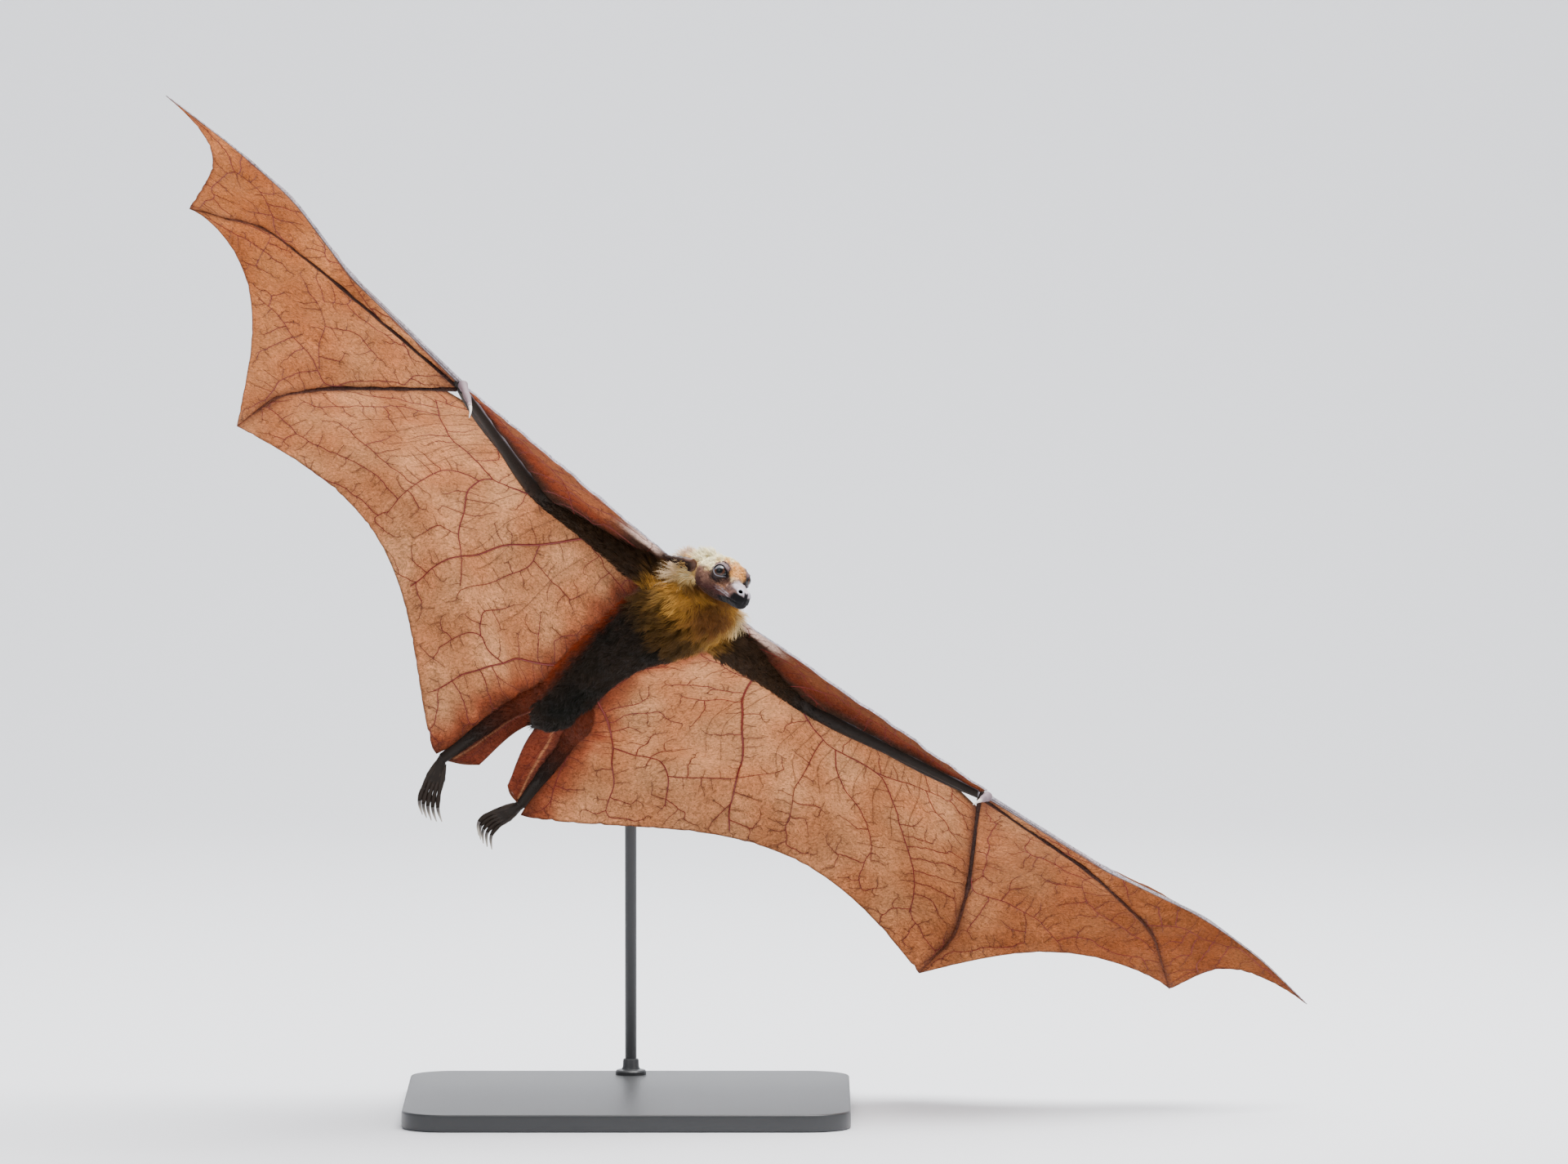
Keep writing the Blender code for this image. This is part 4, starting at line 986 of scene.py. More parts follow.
def face_colour(points):
    """The head's markings, for points in its axes, from crown and forehead to nostrils and lips, with painted
    shade on the lower cheek, under the jaw and inside the nostrils.
    """
    x, y, z = np.moveaxis(points, -1, 0)
    wave = noise(points, 7, 5)
    mottle = 0.5 + 0.5 * np.clip(noise(points, 2.6, 33), -1, 1)
    aside = np.abs(y) > 4
    ridge = ease(-0.8, 1.4, z + 0.12 * (x - 24) - 0.5 * (np.abs(y) - 4))
    jaw = ease(12, 16, x) * ease(31, 27, x)
    folds = [0.75 * hump(z + 0.12 * (x - 22), low, 0.4) * jaw for low in (-4.6, -6.2)]
    colour = painted(
        mix(CREAM, PALE_GOLD, ease(-1, 1.2, wave)),
        (ORANGE, 0.85 * ease(6, 12, x + 1.2 * wave) * ease(2, 6, z)),
        (CHEEK, ease(5.0, 1.0, z + 1.2 * wave) * ease(-13, -6, x)),
        (CREAM, ease(8, -2, x) * ease(2, 6, z + wave)),
        (PALE_GOLD, ease(-5, -14, x) * ease(-8, -2, z + wave) * ease(6, 2, z)),
        # painted shade: the cheek darkens downwards
        (LOWER_CHEEK_SHADE, ease(-2.5, -7.0, z + wave) * ease(-12, -6, x)),
        (JAW, ease(-7.0, -10.5, z + 0.8 * wave)),
        # painted shade under the jaw
        (THROAT_PAINTED_SHADE, ease(2, -9, x) * ease(-8, -12, z)),
        (UNDER_EYE, 0.9 * hump(x, 18, 4) * hump(z, -2.8, 1.7) * aside),
        (0.35 * JAW, hump(x, 12, 6) * hump(z + 0.1 * (x - 12), -0.9, 0.9) * aside),
        (MUZZLE_SIDE, ease(19, 24, x + wave) * (0.65 + 0.35 * mottle)),
        (MUZZLE, ease(22, 29, x + wave) * ridge * (0.75 + 0.25 * mottle)),
        (CHEEK, 0.7 * hump(x, 26, 4) * hump(z, -3.2, 1.8) * aside),
        (MUZZLE, folds[0]),
        (MUZZLE, folds[1]),
    )
    for side in SIDES:
        high, ahead, above = lid_at(points, side)
        ring = mix(LILAC, LILAC_LIGHT, ease(-1.5, 3.0, above - 0.5 * ahead))
        corner = hump(ahead, 6.5, 2.6) * hump(above, -0.8, 1.7) * (high > -6)
        colour = painted(
            colour, (ring, 0.95 * ease(7.6, 6.4, np.hypot(ahead, above)) * (high > -4)), (LILAC, corner))
    lips = ease(0.0, -1.2, z + 7.0 - 0.14 * (x - 24)) * ease(13, 18, x)
    tip = ease(30.0, 33.5, x - 0.5 * (z + 4)) * ease(-2.0, -3.4, z - 0.1 * np.abs(y))
    between = ease(36.8, 38.2, x - 0.1 * z) * ease(2.0, 1.0, np.abs(y))
    colour = painted(colour, (LIP, np.maximum(lips, tip)), (LIP, between))
    for side in SIDES:
        _, ring, height = nostril_at(points, side)
        near = height > -3.5
        # painted shade: the pit inside each nostril, darker than the lips
        colour = painted(
            colour, (NOSTRIL_RIM, ease(1.75, 1.4, ring) * near), (LIP * 0.4, ease(1.02, 0.86, ring) * near))
    return colour


def nape_share(points):
    """1 where the pale tuft stands behind the ear, between neck and wing, and 0 away from it."""
    x, y, z = np.moveaxis(points, -1, 0)
    return ease(16, 22, np.abs(y + 3)) * ease(-9, -2, z) * ease(12, 5, z) * ease(2, 9, x) * ease(36, 27, x)


def coat_colour(points):
    """The markings of body and head, for points in the bat's axes: gold mantle, dark back and belly, painted
    shade on the lower chest and throat, and a painted glow at the flanks.
    """
    x, y, z = np.moveaxis(points, -1, 0)
    wave, slow_wave = noise(points, 16, 1), noise(points, 34, 2)
    out = np.abs(y - np.interp(x, (-155, 16), (-5, -3)))
    gold = mix(GOLD, PALE_GOLD, np.clip(0.5 + 0.5 * wave, 0, 1) * ease(8, 30, out))
    # painted shade: the gold darkens towards the lower chest
    gold = painted(
        gold * (1 - 0.85 * ease(-8, -24, z) * ease(14, 2, x))[..., None],
        # painted shade on the throat
        (THROAT_PAINTED_SHADE, 0.85 * ease(4, 18, x) * ease(-3, -12, z) * ease(15, 6, np.abs(y - 3))),
        (OLIVE, 0.85 * ease(20, 27, out + 3 * wave) * ease(12, 2, x)),
        (NAPE, nape_share(points)),
    )
    dark = painted(
        mix(DARK_FUR, BLACK_FUR, np.clip(0.5 + 0.5 * slow_wave, 0, 1)),
        # painted glow of light through the fur's edges at the flank
        (RED_FUR_AND_GLOW, 0.8 * ease(13, 20, out) * ease(-16, -4, z) * ease(8, 0, z)),
    )
    head = to_head(points)
    x_head, z_head = head[..., 0], head[..., 2]
    back = 9 * ease(2, 9, z_head) + 6 * ease(-3, -9, z_head) * ease(-18, -12, z_head)
    return painted(
        gold,
        (dark, ease(2, -16, x + 5 * wave + 4 * slow_wave + 8 * ease(2, -10, z))),
        (BLUSH, ease(20, 34, -y) * ease(-26, -8, x) * ease(-8, 2, z) * (y < 0)),
        (face_colour(head), ease(-20, -12, x_head + back)),
    )


def arm_colour(grid):
    """Gold at the shoulder, olive brown along the upper arm, then dark; a painted highlight where it faces
    forwards.
    """
    share, _ = shares_of(grid)
    return painted(
        GOLD + 0 * grid,
        (OLIVE, ease(0.0, 0.07, share + 0.015 * noise(grid, 9, 8))),
        (DARK_SKIN, ease(0.30, 0.5, share)),
        # painted highlight on the forearm's side that faces forwards
        (PALE_EDGE_AND_HIGHLIGHT, 0.8 * ease(0.55, 0.9, outward(grid)[..., 0]) * ease(0.5, 0.62, share)),
    )


def leg_colour(grid):
    """Dark red-brown at the thigh, almost black along the shin."""
    share, _ = shares_of(grid)
    return painted(DARK_FUR + 0 * grid, (RED_FUR_AND_GLOW, 0.3 + 0 * share), (DARK_SKIN, ease(0.3, 0.8, share)))


# ---- pieces of the bat -----------------------------------------------------------------------


def arm_grid(side):
    """The arm's skin with the swell of its muscles."""
    path, shares, radii = arm(side)
    return limb(path, shares, np.array(radii) - np.array(ARM_COAT), 150, 36)


def leg_grid(side):
    """The leg's skin."""
    path, shares, radii = leg(side)
    return limb(path, shares, np.array(radii) - np.array(LEG_COAT), 90, 32)


def swept(path, radii, count, steps=0):
    """A tube along a path, its radii spread evenly over its length."""
    shares = np.linspace(0, 1, len(radii))
    return limb(path, shares, np.array(radii, float), steps or 6 * len(radii), count)


def thumb_grid(side):
    """The thumb with its claw."""
    return limb(*thumb(side), 60, 16)


def toe_grid(path):
    """A toe with its claw, from the path of its bones."""
    return swept(path, TOE, 12, 44)


def add_lids(parts, places):
    """The lids' rims: tubes bent round an ellipse on the eyeball, dark above and pale grey below."""
    turn = np.linspace(0, 2 * math.pi, 81)
    shade = mix(tint(22, 19, 22), tint(112, 108, 114), ease(0.0, -0.6, np.sin(turn)))
    shade = shade[:, None] * np.ones((10, 1))
    for side in SIDES:
        place, aim, front, up = eye_frame(side)
        ahead, above = lid_ring(turn)
        high = np.sqrt((EYE_RADIUS + 0.2) ** 2 - ahead**2 - above**2)
        path = place + front * ahead[:, None] + up * above[:, None] + aim * high[:, None]
        rim = limb(from_head(path), np.linspace(0, 1, 3), np.full(3, 0.38), 81, 10)
        parts.add_tube(rim, places.pop(), shade)


def add_ear(parts, side, cell):
    """An ear as a thin sheet with a thick rolled rim, dark inside, and pale along the rim's upper edge as a
    painted highlight.
    """
    grid = ear_grid(side)
    down, across = shares_of(grid)
    across = np.abs(2 * across - 1)
    rim = np.maximum(ease(0.9, 0.98, across), ease(0.93, 0.99, down))
    thickness = 1.5 - 0.5 * down + 0.7 * rim
    thickness *= 1 - 0.75 * np.maximum(ease(0.985, 1, across), ease(0.985, 1, down))
    wrinkle = 0.2 * np.sin(34 * down + 2 * across + noise(grid, 8, 17)) * ease(0.2, 0.5, across) * (1 - rim)
    height = to_head(grid)[..., 2]
    # Painted highlight: the rim is paler where it lies higher in the head, where the light falls.
    upper = ease(0, 1.5, height - height.mean(1, keepdims=True))
    colour = painted(
        EAR_INSIDE + 0 * grid,
        (RIM, rim * ease(0.1, 0.3, down) * (0.15 + 0.85 * upper)),
        (CHEEK, 0.5 * ease(0.25, 0.0, down)),
    )
    parts.add_sheet(grid, thickness, cell, colour, wrinkle)


def skin_parts():
    """Every grid of the bat's skin with its colours."""
    parts, places = Parts(), cells(40, 0.44, 1)
    body, _, _ = body_grid()
    parts.add_tube(body, (0.002, 0.002, 0.998, 0.43), coat_colour(body))
    add_lids(parts, places)
    for side in SIDES:
        add_ear(parts, side, places.pop())
        for grid_of, colour_of in ((arm_grid, arm_colour), (leg_grid, leg_colour)):
            grid = grid_of(side)
            parts.add_tube(grid, places.pop(), colour_of(grid))
        parts.add_tube(hand_grid(side), places.pop(), DARK_SKIN)
        grid = thumb_grid(side)
        share, _ = shares_of(grid)
        colour = mix(THUMB_SKIN, THUMB_END, ease(0.66, 0.74, share))
        parts.add_tube(grid[:46], places.pop(), colour[:46])
        sole, toes = foot_parts(side)
        parts.add_tube(sole, places.pop(), DARK_SKIN)
        for path in toes:
            parts.add_tube(toe_grid(path)[:33], places.pop(), DARK_SKIN * 1.6)
    return parts


def claw_parts():
    """The thumbs' and the toes' claws: the last part of each digit, narrow and curved, with a pale tip."""
    parts, places = Parts(), cells(12)
    for side in SIDES:
        parts.add_tube(thumb_grid(side)[43:], places.pop(), THUMB_CLAW)
        for path in foot_parts(side)[1]:
            grid = toe_grid(path)[31:]
            share, _ = shares_of(grid)
            parts.add_tube(grid, places.pop(), mix(CLAW, CLAW_TIP, ease(0.2, 0.9, share)))
    return parts


def eye_parts():
    """Eyeballs with a slightly domed cornea, in rings from the pupil to the back, coloured by angle, with a
    painted reflection of the sky over the upper part.
    """
    parts, places = Parts(), cells(2)
    angle = np.linspace(0.02, math.pi - 0.02, 60)[:, None]
    turn = np.linspace(0, 2 * math.pi, 48, endpoint=False)[None]
    radius = (EYE_RADIUS - 0.15 + 0.25 * np.exp(-((angle / 0.5) ** 2)))[..., None]
    streak = 0.5 + 0.5 * np.sin(turn * 23 + 3 * np.sin(turn * 5))
    iris = mix(IRIS, IRIS * 0.4, streak * ease(0.3, 0.8, angle))
    colour = painted(
        LIP * 0.3,
        (iris, ease(0.40, 0.48, angle)),
        (LIP * 0.7, ease(0.64, 0.78, angle)),
        # painted reflection: a pale grey sky highlight over the upper part of the eye
        (PAINTED_SKY_REFLECTION, 0.34 * ease(0.14, 0.34, np.sin(angle) * np.sin(turn - 0.7))),
    )
    for side in SIDES:
        place, aim, front, up = eye_frame(side)
        around = front * np.cos(turn)[..., None] + up * np.sin(turn)[..., None]
        points = place + radius * (aim * np.cos(angle)[..., None] + around * np.sin(angle)[..., None])
        parts.add_tube(from_head(points), places.pop(), colour)
    return parts


def wing_parts(thickness):
    """The membranes as thin closed sheets, and the fingers and heel spurs that carry them."""
    parts, places = Parts(), cells(22)
    for side in SIDES:
        for name, grid in wing_sheets(side).items():
            parts.add_sheet(grid, thickness, places.pop(), wing_colour(side, name, grid))
            if name == "propatagium":
                # The leading edge's cord: pale skin with a painted highlight.
                cord = limb(grid[-1], np.linspace(0, 1, len(LEADING_CORD)), LEADING_CORD, 90, 10)
                parts.add_tube(cord, places.pop(), PALE_EDGE_AND_HIGHLIGHT)
        for name in FINGERS:
            path, shares, radii = finger(side, name)
            grid = limb(path, shares, 0.82 * np.array(radii), 120, 12)
            colour = mix(FINGER_DARK, FINGER_RED, ease(0.35, 0.95, shares_of(grid)[0]))
            # The second and third fingers' forward faces take a painted highlight.
            if name in ("finger_2", "finger_3"):
                colour = mix(colour, PALE_EDGE_AND_HIGHLIGHT, ease(0.05, 0.5, outward(grid) @ hand_axes(side)[1]))
            parts.add_tube(grid, places.pop(), colour)
        ankle, tip = joint(side, "ankle"), joint(side, "spur")
        start = ankle + unit(tip - ankle) * 3.0
        middle = (start + tip) / 2 + np.array([-2.0, 0, 0])
        parts.add_tube(swept(rounded([start, middle, tip], 6), SPUR, 10), places.pop(), FINGER_RED)
    return parts


def wing_colour(side, name, grid):
    """Brown, redder by flank and thigh, dark along bones and free edge, with painted shade by arm and flank
    and towards the tips, and a pale leading edge with a painted highlight.
    """
    v, u = shares_of(grid)
    colour = mix(WING, WING_LIGHT, np.clip(0.4 + 0.5 * noise(grid, 45, 21), 0, 1))
    colour = colour * mix(np.ones(3), OUTER_SHADE[side], ease(120, 420, np.abs(grid[..., 1])))
    if name == "propatagium":
        return painted(
            mix(WING_RED + 0 * grid, WING, 0.45 * ease(0.3, 0.7, v)) * FORE_SHADE[side],
            # painted shade next to the arm and towards the shoulder
            (WING_SHADE, 0.95 * np.maximum(ease(0.30, 0.12, u), ease(0.35, 0.1, v))),
            (BLUSH, ease(0.02, 0.08, u) * ease(0.26, 0.1, u) * ease(0.5, 0.75, v)),
            # pale leading edge with a painted highlight
            (PALE_EDGE_AND_HIGHLIGHT, ease(0.96, 0.99, v)),
        )
    if name == "plagiopatagium":
        flank = u + 0.012 * noise(grid, 18, 22) - 0.02 * ease(0.3, 0.0, v)
        colour = painted(
            colour,
            (WING_RED, 0.9 * ease(0.11, 0.02, flank)),
            # painted shade along the flank and next to the arm
            (WING_SHADE, 0.6 * ease(0.04, 0.0, flank)),
            (WING_SHADE, 0.85 * ease(0.035, 0.0, v)),
            (WING_DARK, 0.7 * ease(0.975, 1.0, u)),
        )
    elif name == "uropatagium":
        colour = painted(
            WING_DARK + 0 * grid,
            (WING_RED, 0.55 * ease(0, 0.5, v)),
            (WING_LIGHT, 0.6 * hump(v + 0.2 * u, 0.45, 0.035)),
        )
    else:
        colour = painted(
            colour,
            (WING_DARK, 0.7 * ease(0.14, 0.0, v)),
            (WING_DARK, 0.6 * np.maximum(ease(0.05, 0, u), ease(0.95, 1, u))),
        )
    return mix(colour, WING_DARK, 0.8 * ease(0.988, 1.0, v))


# ---- the vessels -----------------------------------------------------------------------------


def apart(points, room, rng):
    """A choice of the points, each at least this far from any other one that ranks above it at random."""
    rank = rng.random(len(points))
    near = np.linalg.norm(points[:, None] - points[None], axis=-1) < room
    return points[~(near & (rank[:, None] < rank[None])).any(1)]


def grown(points, heads, targets, step, reach, near, turns, rng):
    """Branches that grow from the heads, as (points, parents, turn that each was put out in).

    Each target pulls the nearest point, which puts out a new one a step further, along its own line bent to
    the pull. A target stops pulling when a point is near, or when nothing comes closer to it.
    """
    parents, born, heading = np.full(len(points), -1), np.zeros(len(points), int), np.zeros_like(points)
    targets = targets[np.linalg.norm(targets[:, None] - points[None], axis=-1).min(1) > 2 * near]
    closest, owner = np.full(len(targets), np.inf), np.zeros(len(targets), int)
    fresh, waits = heads, np.zeros(len(targets), int)
    for turn in range(1, turns):
        away = np.linalg.norm(targets[:, None] - points[None, fresh], axis=-1)
        found = away.min(1)
        better = found < closest - 0.05 * step
        owner[better] = fresh[away.argmin(1)[better]]
        closest = np.minimum(closest, found)
        waits = np.where(better, 0, waits + 1)
        pulls = (closest > near) & (closest < reach) & (waits < 3)
        if not pulls.any():
            break
        pull = np.zeros_like(points)
        np.add.at(pull, owner[pulls], unit(targets[pulls] - points[owner[pulls]]))
        growing = np.unique(owner[pulls])
        ahead = unit(unit(pull[growing]) + 0.9 * heading[growing] + rng.normal(0, 0.26, (len(growing), 3)))
        fresh = np.arange(len(points), len(points) + len(growing))
        points = np.concatenate([points, points[growing] + ahead * step])
        heading = np.concatenate([heading, ahead])
        parents = np.concatenate([parents, growing])
        born = np.concatenate([born, np.full(len(growing), turn)])
    return points, parents, born


def scattered_targets(grid, spacing, rng):
    """Points spread over a sheet, about this far apart."""
    first, second = np.diff(grid, axis=0)[:, :-1], np.diff(grid, axis=1)[:-1]
    area = np.linalg.norm(np.cross(first, second), axis=-1).ravel()
    count = int(1.6 * area.sum() / spacing**2)
    r, c = np.divmod(rng.choice(len(area), count, p=area / area.sum()), grid.shape[1] - 1)
    return apart(sampled(grid, r + rng.random(count), c + rng.random(count), wrap=False), 0.8 * spacing, rng)


def vessel_lines(side, name, grid):
    """The main vessels as points, the number of the one before each (-1 at a start), and half widths."""
    points, before, wide = [], [], []
    rows = list(VESSELS[side, name])
    if name == "plagiopatagium":
        rows += [(0.12, ((u, 0.02), (u + 0.012, 0.25), (u, 0.45), (u + 0.008, 0.6))) for u in STRANDS[side]]
    for half, places in rows:
        knots = np.linspace(0, 1, len(places))
        u, v = spline(knots, np.array(places), np.linspace(0, 1, 14 * len(places))).T
        line = sampled(grid, v * (len(grid) - 1), u * (grid.shape[1] - 1), wrap=False)
        line = even(line, max(4, int(lengths(line)[-1] / 1.6)))
        first = len(before)
        before += [-1, *range(first, first + len(line) - 1)]
        points.append(line)
        wide.append(1.4 * half * np.linspace(1.0, 0.62, len(line)))
    return np.concatenate(points), np.array(before), np.concatenate(wide)


def vessel_tree(side, name, grid, spacing, rng):
    """One membrane's vessels: points, parents, half widths, flow, and how many points are the main ones'."""
    points, parents, wide = vessel_lines(side, name, grid)
    main = len(points)
    born = np.zeros(main, int)
    for room, every in ((2.3 * spacing, 6), (spacing, 4)):
        targets = scattered_targets(grid, room, rng)
        heads = np.arange(rng.integers(every), len(points), every)
        heads = heads[(heads >= main) | (wide[np.minimum(heads, main - 1)] > 0.2)]
        points, more, turns = grown(points, heads, targets, 1.5, 3.5 * room, 0.27 * room, 160, rng)
        parents = np.concatenate([parents, more[len(parents) :]])
        born = np.concatenate([born, np.where(turns > 0, turns + born.max(), 0)[len(born) :]])
    flow = np.ones(len(points))
    for turn in range(born.max(), 0, -1):
        now = np.flatnonzero(born == turn)
        np.add.at(flow, parents[now], flow[now])
    half = np.minimum(0.18 * flow**0.31, 0.5)
    half[:main] = np.maximum(wide, half[:main])
    return points, parents, half, flow, main


def add_vessels(parts, side, name, grid, half_sheet, spacing, seed, corner):
    """One membrane's vessels, as tubes of four-cornered rings that stand out on both of its faces.

    A vessel's half width grows with the number of points that it feeds, to the power 0.31. Every point is the
    middle of a ring, and a fork has a second ring where its branch starts.
    """
    rng = np.random.default_rng(seed)
    points, parents, half, flow, main = vessel_tree(side, name, grid, spacing, rng)
    columns = grid.shape[1]
    tree = BVHTree.FromPolygons(grid.reshape(-1, 3).tolist(), grid_faces(*grid.shape[:2]).tolist())
    hits = [tree.find_nearest(point) for point in points.tolist()]
    points, normal = (np.array([hit[k] for hit in hits]) for k in (0, 1))
    cell_at = np.array([hit[2] for hit in hits])
    links = np.flatnonzero(parents >= 0)
    order = links[np.argsort(flow[links] + 1e6 * (links < main))]
    heir = np.full(len(points), -1)
    heir[parents[order]] = order
    numbers = np.arange(len(points))
    way = points[np.where(heir >= 0, heir, numbers)] - points[np.where(parents >= 0, parents, numbers)]
    forks = links[heir[parents[links]] != links]
    ring_of = np.concatenate([numbers, parents[forks]])
    way = unit(np.concatenate([way, points[forks] - points[parents[forks]]]))
    broad = np.concatenate([half, half[forks]])[:, None]
    upward = normal[ring_of] * (half_sheet + 0.08 + 0.45 * broad)
    sideways = unit(np.cross(way, normal[ring_of])) * broad
    corners = np.stack([points[ring_of] + shift for shift in (sideways, upward, -sideways, -upward)], 1)
    starts = parents[links]
    starts[np.isin(links, forks)] = len(points) + np.arange(len(forks))
    near, far = 4 * starts[:, None], 4 * links[:, None]
    k = np.arange(4)
    sides = np.stack([near + k, far + k, far + (k + 1) % 4, near + (k + 1) % 4], -1).reshape(-1, 4)
    first = np.concatenate([np.flatnonzero((parents < 0) & (heir >= 0)), len(points) + np.arange(len(forks))])
    last = np.flatnonzero((heir < 0) & (parents >= 0))
    faces = np.concatenate([sides, 4 * first[:, None] + k, 4 * last[:, None] + k[::-1]])
    place = np.stack(np.divmod(cell_at[ring_of], columns - 1), -1) / grid.shape[:2] * 0.16 + corner
    uv = (place[:, None] + np.array([(0, 0), (0.001, 0), (0.002, 0), (0.001, 0.001)])).reshape(-1, 2)
    shade = mix(VESSEL_FINE, VESSEL, ease(0.18, 0.5, broad[:, 0]))
    parts.add(corners.reshape(-1, 3), faces, uv[faces], np.repeat(shade, 4, axis=0))


def grid_faces(rows, columns):
    """The four-cornered faces of an open grid."""
    r, c = (a.ravel() for a in np.meshgrid(np.arange(rows - 1), np.arange(columns - 1), indexing="ij"))
    near, far = r * columns + c, (r + 1) * columns + c
    return np.stack([near, near + 1, far + 1, far], -1)


# ---- the coat --------------------------------------------------------------------------------


def sampled(grid, r, c, wrap=True):
    """Values of a grid at fractional rows and columns, linear between its points."""
    rows, columns = grid.shape[:2]
    i = np.clip(r.astype(int), 0, rows - 2)
    j = c.astype(int) % columns if wrap else np.clip(c.astype(int), 0, columns - 2)
    k = (j + 1) % columns
    s, t = r - i, c - np.floor(c)
    if not wrap:
        t = c - j
    s, t = s.reshape(-1, *(1,) * (grid.ndim - 2)), t.reshape(-1, *(1,) * (grid.ndim - 2))
    near = (1 - t) * grid[i, j] + t * grid[i, k]
    far = (1 - t) * grid[i + 1, j] + t * grid[i + 1, k]
    return (1 - s) * near + s * far


def scattered(grid, density, count, rng):
    """Rows and columns of random places on a wrapped grid, as many to each cell as its area times density."""
    nxt = np.roll(grid, -1, axis=1)
    first, second = grid[1:] - grid[:-1], nxt - grid
    area = np.linalg.norm(np.cross(first, second[:-1]), axis=-1)
    weight = (area * density[:-1]).ravel()
    picked = rng.choice(len(weight), count, p=weight / weight.sum())
    r, c = np.divmod(picked, grid.shape[1])
    return r + rng.random(count), c + rng.random(count)


def tuft_shares(rings):
    """How far along a tuft its rings and its tip are."""
    return np.append(np.linspace(0, 0.7, rings), 1.0)[None, :, None]


def add_tufts(parts, rng, root, normal, lie, long, wide, lift, sway, pull, colour, place, rings):
    """Flat three-sided blades, each from its root along its lie, drawn with its neighbours into a lock.

    The middle line at share s is root + lie * long * s + normal * lift * (2s - s^2) + pull * s^1.5 + sway(s),
    with sway given at the rings' shares as (sideways, upwards) for each tuft.
    """
    count = len(root)
    side = np.cross(normal, lie)
    share = tuft_shares(rings)
    long, lift, wide = (np.reshape(a, (-1, 1, 1)) for a in (long, lift, wide))
    line = root[:, None] + lie[:, None] * long * share + pull[:, None] * share**1.5 + side[:, None] * sway[0]
    line = line + normal[:, None] * (lift * (2 * share - share**2) + sway[1] - 0.3)
    body, tip = line[:, :-1], line[:, -1:]
    half = wide / 2 * (1 - 0.5 * share[:, :-1] ** 2)
    corners = [body - side[:, None] * half, body + side[:, None] * half, body + normal[:, None] * half * 0.4]
    points = np.concatenate([np.stack(corners, 2).reshape(count, -1, 3), tip], 1)
    per = points.shape[1]
    top = per - 4
    faces = [(2, 1, 0)]
    for k in range(0, top, 3):
        for a, b in ((0, 1), (1, 2), (2, 0)):
            faces += [(k + a, k + b, k + b + 3), (k + a, k + b + 3, k + a + 3)]
    faces = np.array([*faces, (top, top + 1, per - 1), (top + 1, top + 2, per - 1), (top + 2, top, per - 1)])
    u = np.append(np.tile([-1, 1, 0], rings), 0) * 0.4
    v = np.append(np.repeat(share[0, :-1, 0], 3), 1)
    uv = (place[:, None] + np.stack([u, v], -1) * TUFT_PATCH).reshape(-1, 2)
    numbers = (faces[None] + per * np.arange(count)[:, None, None]).reshape(-1, 3)
    # Painted shade: each tuft is darker towards its root, deep in the coat, and lighter at its tip.
    shade = np.append(0.68 + 0.36 * v[:-1], 1.08)[None, :, None]
    paint = colour[:, None] * shade * rng.uniform(0.86, 1.14, (count, 1, 1))
    parts.add(points.reshape(-1, 3), numbers, uv[numbers], paint.reshape(-1, 3))


def locks_of(area, lock, r, c, rng):
    """The way from each root to the middle of its lock, and five random numbers that a lock's tufts share."""
    rows, columns = area.shape[:2]
    tall, broad = (max(1.0, lock / np.linalg.norm(np.diff(area, axis=k), axis=-1).mean()) for k in (0, 1))
    across = max(3, int(columns / broad))
    i = (r / tall).astype(int)
    j = ((c / columns * across + 0.5 * (i % 2)).astype(int)) % across
    shift = rng.uniform(0.15, 0.85, (2, int(rows / tall) + 2, across))[:, i, j]
    middle_r = np.clip((i + shift[0]) * tall, 0, rows - 1.001)
    middle_c = ((j + shift[1] - 0.5 * (i % 2)) / across * columns) % columns
    shared = rng.random((5, int(rows / tall) + 2, across))[:, i, j]
    return sampled(area, middle_r, middle_c) - sampled(area, r, c), shared


